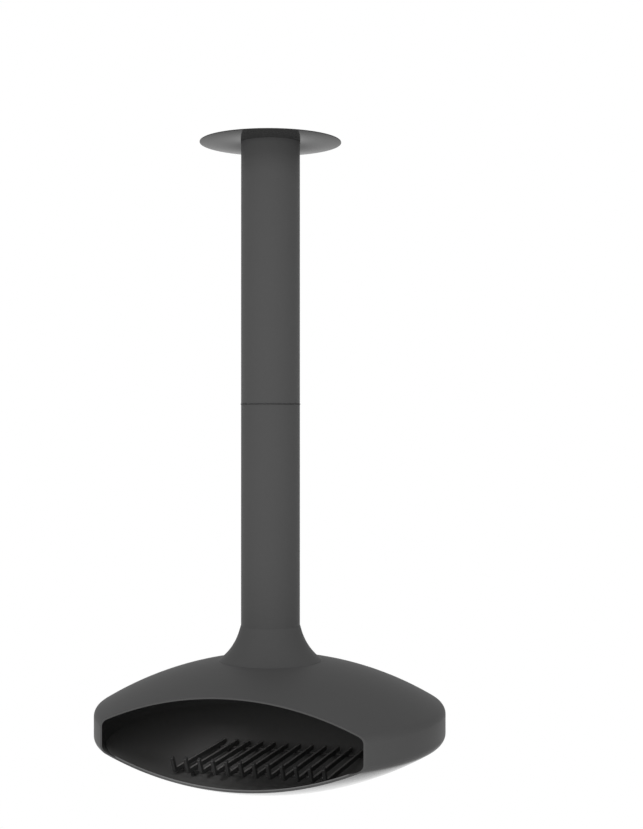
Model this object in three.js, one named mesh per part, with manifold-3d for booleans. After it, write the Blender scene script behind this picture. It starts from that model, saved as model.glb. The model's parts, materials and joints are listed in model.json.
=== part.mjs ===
// Hanging fireplace: a round steel fire body on a swivelling flue tube that hangs from the ceiling.
// Millimetres, +Z up. The origin is on the tube's axis in the plane of the ceiling; everything hangs
// below it, and the opening of the fire body faces -Y.
import * as THREE from "three";
import { mergeVertices } from "three/addons/utils/BufferGeometryUtils.js";
import Module from "manifold-3d";

const wasm = await Module();
wasm.setup();

// ---- Driving dimensions -------------------------------------------------------------------------

// Fits
const SEAT_GAP = 0.3; // between pieces that touch
const RUN_GAP = 0.5; // radial, between pieces that turn on each other

// Ceiling side
const PLATE_THICKNESS = 6;
const PLATE_MARGIN = 26; // of the plate beyond the hanger flange
const ANCHOR_HOLE_DIAMETER = 11;
const ANCHOR_EDGE_DISTANCE = 13; // from the plate's rim to the holes' centres
const ANCHOR_COUNT = 4;
const HANGER_THICKNESS = 4;
const HANGER_FLANGE_WIDTH = 22.5; // beyond the tube
const HANGER_SKIRT_LENGTH = 50;
const HANGER_SKIRT_WALL = 3.5;
const HANGER_SCREW_EDGE_DISTANCE = 12; // from the flange's rim to the screws' axes
const HANGER_SCREW_COUNT = 4;
const HANGER_SCREW_DIAMETER = 8;
const HANGER_SCREW_RECESS = 1; // of the tips below the plate's upper face
const ROSETTE_RADIUS = 244;
const ROSETTE_THICKNESS = 3;
const ROSETTE_DROP = 19; // from the ceiling to the rosette's underside
const ROSETTE_TUBE_CLEARANCE = 0.7;
const MAGNET_DIAMETER = 20;
const MAGNET_COUNT = 3;

// Flue tube
const TUBE_RADIUS = 101.5;
const TUBE_WALL = 1.5;
const UPPER_TUBE_DROP = 901; // from the rosette's underside to the middle of the seam
const TUBE_BELOW_HOOD = 66; // how far the lower tube reaches below the top of the hood

// Swivel
const SEAM_RING_HEIGHT = 4;
const SEAM_RING_PROUD = 1.8;
const SLEEVE_WALL = 9;
const SLEEVE_STEP = 5; // in radius, from the tube's bore to the spigot in the lower tube
const SLEEVE_LENGTH_IN_UPPER_TUBE = 78;
const SPIGOT_LENGTH = 76;
const RETAINING_RING_THICKNESS = 7;
const RETAINING_RING_CLEARANCE = 0.8;
const RETAINING_SCREW_COUNT = 3;
const RETAINING_SCREW_DIAMETER = 5;
const RETAINING_SCREW_DEPTH = 14;
const THRUST_RING_HEIGHT = 4;
const CARRIER_RING_HEIGHT = 30;

// Fire body
const BODY_RADIUS = 601.5;
const BODY_WALL = 5;
const HOOD_SPHERE_RADIUS = 1137;
const BOWL_SPHERE_RADIUS = 1133;
const SHOULDER_RADIUS = 32;
const SEAM_TO_HOOD_TOP = 867; // to the top of the hood's sphere, where the tube goes through
const BAND_HEIGHT = 63.2; // of the plain cylinder between the two rounded shoulders
const OPENING_PLANE = 398; // distance of the flat opening from the axis
const HOOD_HOLE_CLEARANCE = 0.4;
const JOINT_RING_HEIGHT = 30;
const JOINT_RING_WALL = 4;
const JOINT_RING_SETBACK = 40; // of the ring's two ends behind the opening
const LINER_THICKNESS = 4;
const LINER_MARGIN = 40.5; // from the body's outer face to the liner's rim

// Neck: the flange that carries the hood, and the flared collar that hides it
const NECK_FLANGE_WIDTH = 46.5; // beyond the tube
const NECK_FLANGE_THICKNESS = 4;
const NECK_SKIRT_LENGTH = 60;
const NECK_SKIRT_WALL = 3;
const NECK_BOLT_COUNT = 3;
const NECK_BOLT_EDGE_DISTANCE = 20; // from the flange's rim to the bolts' axes
const NECK_BOLT_DIAMETER = 8;
const COLLAR_WALL = 1.5;
const COLLAR_HEIGHT = 120;
const COLLAR_FLARE = 77; // of the collar's foot beyond the tube
const COLLAR_ARC_RADIUS = 192;
const COLLAR_OVERRUN_ANGLE = 2; // degrees of arc that the cut along the hood takes away

// Damper
const DAMPER_DROP = 43; // from the top of the hood's sphere to the spindle
const DAMPER_DISC_CLEARANCE = 5; // between the disc's rim and the tube's bore
const DAMPER_DISC_THICKNESS = 2;
const SPINDLE_DIAMETER = 12;
const SPINDLE_OVERHANG = 26; // beyond the tube, on the lever's side
const SPINDLE_STUB = 8; // beyond the tube, on the other side
const BUSH_DIAMETER = 20;
const BUSH_HEAD_DIAMETER = 26;
const BUSH_HEAD_THICKNESS = 3;
const BUSH_RUN_GAP = 0.35; // radial, so that the spindle's corners turn freely in the bore
const BUSH_REACH = 1; // of the barrel beyond each face of the tube's wall
const LEVER_THICKNESS = 5;
const LEVER_WIDTH = 16;
const LEVER_LENGTH = 78;
const LEVER_HUB_RADIUS = 12;
const KNOB_RADIUS = 11;
const KNOB_STEM_DIAMETER = 6;
const KNOB_STEM_LENGTH = 8;
const KNOB_SHOULDER_DIAMETER = 10;
const DAMPER_SCREW_SPACING = 60;
const DAMPER_SCREW_DIAMETER = 4;
const DAMPER_SCREW_HEAD_HEIGHT = 2.4;

// Grate
const BAR_COUNT = 12;
const BAR_PITCH = 48.3;
const BAR_WIDTH = 10;
const BAR_HEIGHT = 16;
const BAR_FRONT = 216; // from the axis to the bend of each bar
const BAR_BACK = 252; // from the axis to the far end of each bar
const BAR_TIP_RISE = 54; // from the bar's underside to the tip's front corner
const BAR_TIP_LEAN = 28; // of the tip's front corner, out of the bend
const BAR_END_CHAMFER = 3;
const BAR_HEEL_CHAMFER = 5; // of the far end's lower edge, which clears the liner
const GRATE_LIFT = 72; // from the bottom of the bowl to the underside of the bars
const RAIL_WIDTH = 12;
const RAIL_HEIGHT = 6;
const RAIL_OVERHANG = 4; // beyond the outer bars
const FRONT_RAIL_Y = -130;
const BACK_RAIL_Y = 205;
const FOOT_RADIUS = 6;
const FOOT_INSET = 40; // from the rail's end to the foot's axis

// Hexagon heads and nuts, as shares of the thread's diameter
const HEX_RADIUS = 0.9;
const HEX_HEAD_HEIGHT = 0.65;
const HEX_NUT_HEIGHT = 0.8;
const PAN_HEAD_RADIUS = 0.95;
const THREAD_REACH = 3; // of a bolt beyond its nut
const OVERLAP = 1; // of two forms that are joined into one body

// Cutters
const CUT = 2; // past each face that is cut
const CUT_REACH = 50; // past the whole of the body

// Roundness
const SIDES = 48; // of what turns about the tube's axis
const SMALL_SIDES = 12;
const KNOB_RINGS = 10;
const ARC_STEPS = 6;
const FILLET_STEPS = 3;
const NECK_STEPS = 3; // short steps of the hood under the neck

// ---- Positions that follow ----------------------------------------------------------------------

const TUBE_BORE = TUBE_RADIUS - TUBE_WALL;
const HANGER_RADIUS = TUBE_RADIUS + HANGER_FLANGE_WIDTH;
const HANGER_SCREW_CIRCLE = HANGER_RADIUS - HANGER_SCREW_EDGE_DISTANCE;
const HANGER_SCREW_TIP = -HANGER_SCREW_RECESS;
const PLATE_RADIUS = HANGER_RADIUS + PLATE_MARGIN;
const ANCHOR_CIRCLE = PLATE_RADIUS - ANCHOR_EDGE_DISTANCE;
const PLATE_UNDERSIDE = -PLATE_THICKNESS;
const HANGER_TOP = PLATE_UNDERSIDE - SEAT_GAP;
const HANGER_UNDERSIDE = HANGER_TOP - HANGER_THICKNESS;
const UPPER_TUBE_TOP = HANGER_UNDERSIDE - SEAT_GAP;
const ROSETTE_UNDERSIDE = -ROSETTE_DROP;
const ROSETTE_TOP = ROSETTE_UNDERSIDE + ROSETTE_THICKNESS;
const SEAM = ROSETTE_UNDERSIDE - UPPER_TUBE_DROP;
const SEAM_TOP = SEAM + SEAM_RING_HEIGHT / 2;
const SEAM_BOTTOM = SEAM - SEAM_RING_HEIGHT / 2;
const SPIGOT_RADIUS = TUBE_BORE - SLEEVE_STEP;
const SLEEVE_BORE = SPIGOT_RADIUS - SLEEVE_WALL;
const SLEEVE_TOP = SEAM_TOP + SEAT_GAP + SLEEVE_LENGTH_IN_UPPER_TUBE;
const SPIGOT_END = SEAM_BOTTOM - SPIGOT_LENGTH;
const RETAINING_RING_TOP = SPIGOT_END - SEAT_GAP;
const RETAINING_RING_UNDERSIDE = RETAINING_RING_TOP - RETAINING_RING_THICKNESS;
const RETAINING_RING_RADIUS = TUBE_BORE - RETAINING_RING_CLEARANCE;
const RETAINING_SCREW_CIRCLE = SPIGOT_RADIUS - SLEEVE_WALL / 2;
const THRUST_RING_BOTTOM = RETAINING_RING_TOP + SEAT_GAP;
const THRUST_RING_TOP = THRUST_RING_BOTTOM + THRUST_RING_HEIGHT;
const CARRIER_RING_BOTTOM = THRUST_RING_TOP + SEAT_GAP;
const HOOD_TOP = SEAM - SEAM_TO_HOOD_TOP;
const HOOD_CENTRE = HOOD_TOP - HOOD_SPHERE_RADIUS;
const SHOULDER_CIRCLE = BODY_RADIUS - SHOULDER_RADIUS; // of the middles of the shoulders' rounding
const BAND_TOP = HOOD_CENTRE + leg(HOOD_SPHERE_RADIUS - SHOULDER_RADIUS, SHOULDER_CIRCLE);
const BAND_BOTTOM = BAND_TOP - BAND_HEIGHT;
const BODY_SPLIT = (BAND_TOP + BAND_BOTTOM) / 2;
const BOWL_CENTRE = BAND_BOTTOM + leg(BOWL_SPHERE_RADIUS - SHOULDER_RADIUS, SHOULDER_CIRCLE);
const BOWL_BOTTOM = BOWL_CENTRE - BOWL_SPHERE_RADIUS;
const LOWER_TUBE_END = HOOD_TOP - TUBE_BELOW_HOOD;
const LINER_RADIUS = BODY_RADIUS - LINER_MARGIN;
const NECK_FLANGE_RADIUS = TUBE_RADIUS + NECK_FLANGE_WIDTH;
const NECK_BOLT_CIRCLE = NECK_FLANGE_RADIUS - NECK_BOLT_EDGE_DISTANCE;
const COLLAR_FOOT_RADIUS = TUBE_RADIUS + COLLAR_FLARE;
const DAMPER_DISC_RADIUS = TUBE_BORE - DAMPER_DISC_CLEARANCE;
const COLLAR_TOP = hoodHeight(COLLAR_FOOT_RADIUS, 0) + COLLAR_HEIGHT;
const SPINDLE_HEIGHT = HOOD_TOP - DAMPER_DROP;
const LINER_OFFSET = BODY_WALL + SEAT_GAP;
const LINER_TOP_OFFSET = LINER_OFFSET + LINER_THICKNESS;
const BAR_UNDERSIDE = BOWL_BOTTOM + GRATE_LIFT;
const BAR_TOP = BAR_UNDERSIDE + BAR_HEIGHT;
const RAIL_TOP = BAR_UNDERSIDE - SEAT_GAP;
const RAIL_UNDERSIDE = RAIL_TOP - RAIL_HEIGHT;
const RAIL_LENGTH = (BAR_COUNT - 1) * BAR_PITCH + BAR_WIDTH + 2 * RAIL_OVERHANG;
const FOOT_X = RAIL_LENGTH / 2 - FOOT_INSET;

// ---- Materials ----------------------------------------------------------------------------------

const PAINT = { color: 0x505052, roughness: 0.45, metalness: 0.15 };
const ROSETTE_PAINT = { color: 0x6e6e70, roughness: 0.22, metalness: 0.2 };
const FIREBOX_PAINT = { color: 0x444445, roughness: 0.8, metalness: 0.1 };
const RAW_STEEL = { color: 0x6a6c6e, roughness: 0.5, metalness: 0.85 };
const ZINC = { color: 0xa9adb0, roughness: 0.35, metalness: 0.9 };
const GRATE_STEEL = { color: 0x141414, roughness: 0.6, metalness: 0.5 };
const BRONZE = { color: 0x8c6a3a, roughness: 0.4, metalness: 0.8 };
const MAGNET = { color: 0xb8bbbd, roughness: 0.3, metalness: 0.9 };
const STAINLESS = { color: 0x9a9c9e, roughness: 0.4, metalness: 0.9 };

// ---- Geometry helpers ---------------------------------------------------------------------------

// The other leg of a right triangle.
function leg(hypotenuse, side) {
  return Math.sqrt(hypotenuse * hypotenuse - side * side);
}

// Height of the hood's sphere at a radius, this far inside the outer face.
function hoodHeight(radius, offset) {
  return HOOD_CENTRE + leg(HOOD_SPHERE_RADIUS - offset, radius);
}

function radians(degrees) {
  return (degrees * Math.PI) / 180;
}

function solid(geometry) {
  const bare = geometry.index ? geometry.toNonIndexed() : geometry.clone();
  for (const name of Object.keys(bare.attributes)) {
    if (name !== "position") bare.deleteAttribute(name);
  }
  const merged = mergeVertices(bare, 1e-4);
  const positions = Float32Array.from(merged.attributes.position.array);
  const indices = [];
  for (let i = 0; i < merged.index.count; i += 3) {
    const [a, b, c] = [0, 1, 2].map((k) => merged.index.getX(i + k));
    if (a !== b && b !== c && c !== a) indices.push(a, b, c);
  }
  if (signedVolume(positions, indices) < 0) indices.reverse();
  return new wasm.Manifold(
    new wasm.Mesh({ numProp: 3, vertProperties: positions, triVerts: Uint32Array.from(indices) }),
  );
}

function signedVolume(positions, indices) {
  let sum = 0;
  const corner = (index) => new THREE.Vector3().fromArray(positions, 3 * index);
  for (let i = 0; i < indices.length; i += 3) {
    const [a, b, c] = indices.slice(i, i + 3).map(corner);
    sum += a.dot(b.cross(c)) / 6;
  }
  return sum;
}

// A body of revolution about Z from [radius, height] points.
function turned(points, sides = SIDES) {
  const outline = points.map(([radius, height]) => new THREE.Vector2(radius, height));
  const onAxis = points[0][0] === 0 && points[points.length - 1][0] === 0;
  if (!onAxis) outline.push(outline[0].clone());
  return solid(new THREE.LatheGeometry(outline, sides).rotateX(Math.PI / 2));
}

function ring(innerRadius, outerRadius, bottom, top) {
  return turned([[innerRadius, bottom], [outerRadius, bottom], [outerRadius, top], [innerRadius, top]]);
}

// A cylinder along Z whose bottom is at the given height.
function rod(radius, bottom, top, x = 0, y = 0, sides = SMALL_SIDES) {
  const geometry = new THREE.CylinderGeometry(radius, radius, top - bottom, sides).rotateX(Math.PI / 2);
  return solid(geometry.translate(x, y, (bottom + top) / 2));
}

// A cylinder along X.
function crossRod(radius, left, right, y, z, sides = SMALL_SIDES) {
  const geometry = new THREE.CylinderGeometry(radius, radius, right - left, sides).rotateZ(Math.PI / 2);
  return solid(geometry.translate((left + right) / 2, y, z));
}

function block(x0, x1, y0, y1, z0, z1) {
  const geometry = new THREE.BoxGeometry(x1 - x0, y1 - y0, z1 - z0);
  return solid(geometry.translate((x0 + x1) / 2, (y0 + y1) / 2, (z0 + z1) / 2));
}

// An outline in the Y-Z plane, extruded along X about x.
function sidePlate(points, width, x) {
  const shape = new THREE.Shape(points.map(([y, z]) => new THREE.Vector2(y, z)));
  const geometry = new THREE.ExtrudeGeometry(shape, { depth: width, bevelEnabled: false });
  const axes = new THREE.Matrix4().makeBasis(
    new THREE.Vector3(0, 1, 0),
    new THREE.Vector3(0, 0, 1),
    new THREE.Vector3(1, 0, 0),
  );
  return solid(geometry.applyMatrix4(axes).translate(x - width / 2, 0, 0));
}

function onCircle(radius, index, count, startDegrees = 0) {
  const angle = radians(startDegrees + (360 / count) * index);
  return [radius * Math.cos(angle), radius * Math.sin(angle)];
}

const part = new THREE.Group();

function add(name, body, material) {
  const mesh = body.getMesh();
  const geometry = new THREE.BufferGeometry();
  geometry.setAttribute("position", new THREE.BufferAttribute(mesh.vertProperties, 3));
  geometry.setIndex(new THREE.BufferAttribute(mesh.triVerts, 1));
  geometry.computeVertexNormals();
  const node = new THREE.Mesh(geometry, new THREE.MeshStandardMaterial(material));
  node.name = name;
  part.add(node);
}

// ---- Ceiling side -------------------------------------------------------------------------------

function suspensionPlate() {
  let plate = ring(TUBE_BORE - SEAT_GAP - HANGER_SKIRT_WALL, PLATE_RADIUS, PLATE_UNDERSIDE, 0);
  for (let i = 0; i < ANCHOR_COUNT; i += 1) {
    const [x, y] = onCircle(ANCHOR_CIRCLE, i, ANCHOR_COUNT, 45);
    plate = plate.subtract(rod(ANCHOR_HOLE_DIAMETER / 2, PLATE_UNDERSIDE - CUT, CUT, x, y));
  }
  for (const [x, y] of hangerScrewPlaces()) {
    const radius = HANGER_SCREW_DIAMETER / 2 + SEAT_GAP;
    plate = plate.subtract(rod(radius, PLATE_UNDERSIDE - CUT, CUT, x, y));
  }
  return plate;
}

function hangerScrewPlaces() {
  const places = [];
  for (let i = 0; i < HANGER_SCREW_COUNT; i += 1) {
    places.push(onCircle(HANGER_SCREW_CIRCLE, i, HANGER_SCREW_COUNT));
  }
  return places;
}

// The tube is welded to this angle ring, which the screws pull up against the plate.
function hangerFlange() {
  const skirtRadius = TUBE_BORE - SEAT_GAP;
  const innerRadius = skirtRadius - HANGER_SKIRT_WALL;
  const skirtEnd = HANGER_UNDERSIDE - HANGER_SKIRT_LENGTH;
  let flange = turned([
    [innerRadius, skirtEnd],
    [skirtRadius, skirtEnd],
    [skirtRadius, HANGER_UNDERSIDE],
    [HANGER_RADIUS, HANGER_UNDERSIDE],
    [HANGER_RADIUS, HANGER_TOP],
    [innerRadius, HANGER_TOP],
  ]);
  for (const [x, y] of hangerScrewPlaces()) {
    const radius = HANGER_SCREW_DIAMETER / 2 + SEAT_GAP;
    flange = flange.subtract(rod(radius, HANGER_UNDERSIDE - CUT, HANGER_TOP + CUT, x, y));
  }
  return flange;
}

// A hexagon screw that points up, with the underside of its head at the given height.
function hexScrewUp(diameter, headSeat, tip, x, y) {
  const shank = rod(diameter / 2, headSeat - OVERLAP, tip, x, y);
  return shank.add(rod(diameter * HEX_RADIUS, headSeat - diameter * HEX_HEAD_HEIGHT, headSeat, x, y, 6));
}

function buildCeilingSide() {
  add("suspension_plate", suspensionPlate(), RAW_STEEL);
  add("hanger_flange", hangerFlange(), RAW_STEEL);
  hangerScrewPlaces().forEach(([x, y], i) => {
    const headSeat = HANGER_UNDERSIDE - SEAT_GAP;
    const screw = hexScrewUp(HANGER_SCREW_DIAMETER, headSeat, HANGER_SCREW_TIP, x, y);
    add(`hanger_screw_${i + 1}`, screw, ZINC);
  });
  for (let i = 0; i < MAGNET_COUNT; i += 1) {
    const [x, y] = onCircle(ANCHOR_CIRCLE, i, MAGNET_COUNT);
    const magnet = rod(MAGNET_DIAMETER / 2, ROSETTE_TOP + SEAT_GAP, PLATE_UNDERSIDE - SEAT_GAP, x, y);
    add(`rosette_magnet_${i + 1}`, magnet, MAGNET);
  }
  const rosetteBore = TUBE_RADIUS + ROSETTE_TUBE_CLEARANCE;
  add("ceiling_rosette", ring(rosetteBore, ROSETTE_RADIUS, ROSETTE_UNDERSIDE, ROSETTE_TOP), ROSETTE_PAINT);
  add("upper_tube", ring(TUBE_BORE, TUBE_RADIUS, SEAM_TOP + SEAT_GAP, UPPER_TUBE_TOP), PAINT);
}

// ---- Swivel -------------------------------------------------------------------------------------

function retainingScrewPlaces() {
  const places = [];
  for (let i = 0; i < RETAINING_SCREW_COUNT; i += 1) {
    places.push(onCircle(RETAINING_SCREW_CIRCLE, i, RETAINING_SCREW_COUNT, 90));
  }
  return places;
}

function swivelSleeve() {
  let sleeve = turned([
    [SLEEVE_BORE, SPIGOT_END],
    [SPIGOT_RADIUS, SPIGOT_END],
    [SPIGOT_RADIUS, SEAM_TOP + SEAT_GAP],
    [TUBE_BORE - SEAT_GAP, SEAM_TOP + SEAT_GAP],
    [TUBE_BORE - SEAT_GAP, SLEEVE_TOP],
    [SLEEVE_BORE, SLEEVE_TOP],
  ]);
  const holeTop = SPIGOT_END + RETAINING_SCREW_DEPTH + SEAT_GAP;
  for (const [x, y] of retainingScrewPlaces()) {
    const radius = RETAINING_SCREW_DIAMETER / 2 + SEAT_GAP;
    sleeve = sleeve.subtract(rod(radius, SPIGOT_END - CUT, holeTop, x, y));
  }
  return sleeve;
}

function retainingRing() {
  let plate = ring(SLEEVE_BORE, RETAINING_RING_RADIUS, RETAINING_RING_UNDERSIDE, RETAINING_RING_TOP);
  for (const [x, y] of retainingScrewPlaces()) {
    const radius = RETAINING_SCREW_DIAMETER / 2 + SEAT_GAP;
    plate = plate.subtract(rod(radius, RETAINING_RING_UNDERSIDE - CUT, RETAINING_RING_TOP + CUT, x, y));
  }
  return plate;
}

function buildSwivel() {
  const ringOuter = TUBE_RADIUS + SEAM_RING_PROUD;
  add("seam_ring", ring(SPIGOT_RADIUS + SEAT_GAP, ringOuter, SEAM_BOTTOM, SEAM_TOP), PAINT);
  add("swivel_sleeve", swivelSleeve(), STAINLESS);
  add("retaining_ring", retainingRing(), STAINLESS);
  retainingScrewPlaces().forEach(([x, y], i) => {
    const headSeat = RETAINING_RING_UNDERSIDE - SEAT_GAP;
    const screw = hexScrewUp(RETAINING_SCREW_DIAMETER, headSeat, SPIGOT_END + RETAINING_SCREW_DEPTH, x, y);
    add(`retaining_screw_${i + 1}`, screw, ZINC);
  });
  const thrustInner = SPIGOT_RADIUS + SEAT_GAP;
  add("thrust_ring", ring(thrustInner, RETAINING_RING_RADIUS, THRUST_RING_BOTTOM, THRUST_RING_TOP), BRONZE);
  const carrierTop = CARRIER_RING_BOTTOM + CARRIER_RING_HEIGHT;
  const carrierInner = SPIGOT_RADIUS + RUN_GAP;
  add("carrier_ring", ring(carrierInner, TUBE_BORE - SEAT_GAP, CARRIER_RING_BOTTOM, carrierTop), STAINLESS);
  add("lower_tube", lowerTube(), PAINT);
}

// The damper's bushes sit in two round holes near the lower end.
function lowerTube() {
  const tube = ring(TUBE_BORE, TUBE_RADIUS, LOWER_TUBE_END, SEAM_BOTTOM - SEAT_GAP);
  const reach = TUBE_RADIUS + CUT;
  return tube.subtract(crossRod(BUSH_DIAMETER / 2 + SEAT_GAP, -reach, reach, 0, SPINDLE_HEIGHT));
}

// ---- Fire body ----------------------------------------------------------------------------------

// Points of the hood's outline, this far inside its outer face, from the hole down to a height.
// Under the neck the steps are short, so that what is bolted there finds an even seat.
function hoodOutline(offset, toHeight) {
  const sphere = HOOD_SPHERE_RADIUS - offset;
  const fillet = SHOULDER_RADIUS - offset;
  const hole = Math.asin((TUBE_RADIUS + HOOD_HOLE_CLEARANCE) / sphere);
  const neck = Math.asin(COLLAR_FOOT_RADIUS / HOOD_SPHERE_RADIUS);
  const shoulder = Math.asin(SHOULDER_CIRCLE / (HOOD_SPHERE_RADIUS - SHOULDER_RADIUS));
  const angles = [hole];
  for (let i = 1; i <= NECK_STEPS; i += 1) angles.push(hole + ((neck - hole) * i) / NECK_STEPS);
  for (let i = 1; i <= ARC_STEPS; i += 1) angles.push(neck + ((shoulder - neck) * i) / ARC_STEPS);
  const points = angles.map((angle) => [sphere * Math.sin(angle), HOOD_CENTRE + sphere * Math.cos(angle)]);
  for (let i = 1; i <= FILLET_STEPS; i += 1) {
    const angle = shoulder + ((Math.PI / 2 - shoulder) * i) / FILLET_STEPS;
    points.push([SHOULDER_CIRCLE + fillet * Math.sin(angle), BAND_TOP + fillet * Math.cos(angle)]);
  }
  points.push([BODY_RADIUS - offset, toHeight]);
  return points;
}

// The round bottom of the bowl, from its axis to where the fillet starts.
function bowlArc(offset) {
  const sphere = BOWL_SPHERE_RADIUS - offset;
  const to = Math.asin(SHOULDER_CIRCLE / (BOWL_SPHERE_RADIUS - SHOULDER_RADIUS));
  const points = [[0, BOWL_CENTRE - sphere]];
  for (let i = 1; i <= ARC_STEPS; i += 1) {
    const angle = (to * i) / ARC_STEPS;
    points.push([sphere * Math.sin(angle), BOWL_CENTRE - sphere * Math.cos(angle)]);
  }
  return points;
}

// The bowl's whole outline, from its axis up to a height.
function bowlOutline(offset, toHeight) {
  const fillet = SHOULDER_RADIUS - offset;
  const from = Math.asin(SHOULDER_CIRCLE / (BOWL_SPHERE_RADIUS - SHOULDER_RADIUS));
  const points = bowlArc(offset);
  for (let i = 1; i <= FILLET_STEPS; i += 1) {
    const angle = from + ((Math.PI / 2 - from) * i) / FILLET_STEPS;
    points.push([SHOULDER_CIRCLE + fillet * Math.sin(angle), BAND_BOTTOM - fillet * Math.cos(angle)]);
  }
  points.push([BODY_RADIUS - offset, toHeight]);
  return points;
}

// Everything in front of the opening's plane, or of a plane this far behind it.
function openingCutter(setback = 0) {
  const reach = BODY_RADIUS + CUT_REACH;
  const plane = setback - OPENING_PLANE;
  return block(-reach, reach, -reach, plane, BOWL_BOTTOM - CUT_REACH, HOOD_TOP + CUT_REACH);
}

function neckBoltPlaces() {
  const places = [];
  for (let i = 0; i < NECK_BOLT_COUNT; i += 1) {
    places.push(onCircle(NECK_BOLT_CIRCLE, i, NECK_BOLT_COUNT, 90));
  }
  return places;
}

function hoodShell() {
  const edge = BODY_SPLIT + SEAT_GAP / 2;
  const outside = hoodOutline(0, edge);
  const inside = hoodOutline(BODY_WALL, edge);
  let shell = turned([...outside, ...inside.reverse()]).subtract(openingCutter());
  for (const [x, y] of neckBoltPlaces()) {
    shell = shell.subtract(neckBoltHole(x, y));
  }
  return shell;
}

function neckBoltHole(x, y) {
  const seat = hoodHeight(NECK_BOLT_CIRCLE, 0);
  return rod(NECK_BOLT_DIAMETER / 2 + SEAT_GAP, seat - CUT_REACH, seat + CUT_REACH, x, y);
}

function bowlShell() {
  const edge = BODY_SPLIT - SEAT_GAP / 2;
  const outside = bowlOutline(0, edge);
  const inside = bowlOutline(BODY_WALL, edge);
  return turned([...outside, ...inside.reverse()]).subtract(openingCutter());
}

// A dish of plate that takes the heat of the fire and lies on the bowl.
function hearthLiner() {
  const dish = turned([...bowlArc(LINER_OFFSET), ...bowlArc(LINER_TOP_OFFSET).reverse()]);
  const blank = rod(LINER_RADIUS, BOWL_BOTTOM, BODY_SPLIT, 0, 0, SIDES);
  return dish.intersect(blank).subtract(openingCutter());
}

// A flat hoop behind the joint of hood and bowl, which ends out of sight behind the opening.
function jointRing() {
  const outer = BODY_RADIUS - BODY_WALL - SEAT_GAP;
  const half = JOINT_RING_HEIGHT / 2;
  const hoop = ring(outer - JOINT_RING_WALL, outer, BODY_SPLIT - half, BODY_SPLIT + half);
  return hoop.subtract(openingCutter(JOINT_RING_SETBACK));
}

function buildFireBody() {
  add("hood_shell", hoodShell(), PAINT);
  add("bowl_shell", bowlShell(), PAINT);
  add("joint_ring", jointRing(), FIREBOX_PAINT);
  add("hearth_liner", hearthLiner(), FIREBOX_PAINT);
}

// ---- Neck ---------------------------------------------------------------------------------------

// An angle ring round the tube whose flange follows the hood.
function neckFlange() {
  const inner = TUBE_RADIUS + SEAT_GAP;
  const outerSkirt = inner + NECK_SKIRT_WALL;
  const skirtTop = hoodHeight(inner, 0) + NECK_SKIRT_LENGTH;
  const seat = -SEAT_GAP;
  const face = -SEAT_GAP - NECK_FLANGE_THICKNESS;
  const middle = (outerSkirt + NECK_FLANGE_RADIUS) / 2;
  let flange = turned([
    [inner, hoodHeight(inner, seat)],
    [middle, hoodHeight(middle, seat)],
    [NECK_FLANGE_RADIUS, hoodHeight(NECK_FLANGE_RADIUS, seat)],
    [NECK_FLANGE_RADIUS, hoodHeight(NECK_FLANGE_RADIUS, face)],
    [middle, hoodHeight(middle, face)],
    [outerSkirt, hoodHeight(outerSkirt, face)],
    [outerSkirt, skirtTop],
    [inner, skirtTop],
  ]);
  for (const [x, y] of neckBoltPlaces()) {
    flange = flange.subtract(neckBoltHole(x, y));
  }
  return flange;
}

// A flared sheet ring, its concave face outwards, cut off where it meets the hood.
function collar() {
  const top = [TUBE_RADIUS + SEAT_GAP + COLLAR_WALL, COLLAR_TOP];
  const foot = [COLLAR_FOOT_RADIUS, hoodHeight(COLLAR_FOOT_RADIUS, 0)];
  const chord = Math.hypot(foot[0] - top[0], foot[1] - top[1]);
  const toCentre = leg(COLLAR_ARC_RADIUS, chord / 2);
  const across = [(top[1] - foot[1]) / chord, (foot[0] - top[0]) / chord];
  const centre = [0, 1].map((k) => (top[k] + foot[k]) / 2 + across[k] * toCentre);
  const start = Math.atan2(top[1] - centre[1], top[0] - centre[0]) + 2 * Math.PI;
  const end = Math.atan2(foot[1] - centre[1], foot[0] - centre[0]) + 2 * Math.PI;
  const last = end + radians(COLLAR_OVERRUN_ANGLE);
  const outside = [];
  const inside = [];
  for (let i = 0; i <= ARC_STEPS; i += 1) {
    const angle = start + ((last - start) * i) / ARC_STEPS;
    const direction = [Math.cos(angle), Math.sin(angle)];
    outside.push([0, 1].map((k) => centre[k] + COLLAR_ARC_RADIUS * direction[k]));
    inside.push([0, 1].map((k) => centre[k] + (COLLAR_ARC_RADIUS + COLLAR_WALL) * direction[k]));
  }
  return turned([...outside, ...inside.reverse()]).subtract(hoodCutter());
}

// A dome that fills the hood's sphere and a seat gap above it.
function hoodCutter() {
  const reach = COLLAR_FOOT_RADIUS + CUT_REACH;
  const below = hoodHeight(reach, 0) - CUT_REACH;
  const points = [[0, below], [reach, below]];
  for (let i = ARC_STEPS; i >= 0; i -= 1) {
    const radius = (reach * i) / ARC_STEPS;
    points.push([radius, hoodHeight(radius, -SEAT_GAP)]);
  }
  return turned(points);
}

// A hexagon bolt that points down through the flange and the hood.
function neckBolt(x, y) {
  const seat = hoodHeight(NECK_BOLT_CIRCLE - NECK_BOLT_DIAMETER, -SEAT_GAP - NECK_FLANGE_THICKNESS);
  const headSeat = seat + SEAT_GAP;
  const radius = NECK_BOLT_DIAMETER / 2;
  const headTop = headSeat + NECK_BOLT_DIAMETER * HEX_HEAD_HEIGHT;
  const shank = rod(radius, neckNutBottom() - THREAD_REACH, headSeat + OVERLAP, x, y);
  return shank.add(rod(NECK_BOLT_DIAMETER * HEX_RADIUS, headSeat, headTop, x, y, 6));
}

function neckNutTop() {
  return hoodHeight(NECK_BOLT_CIRCLE + NECK_BOLT_DIAMETER, BODY_WALL) - SEAT_GAP;
}

function neckNutBottom() {
  return neckNutTop() - NECK_BOLT_DIAMETER * HEX_NUT_HEIGHT;
}

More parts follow.
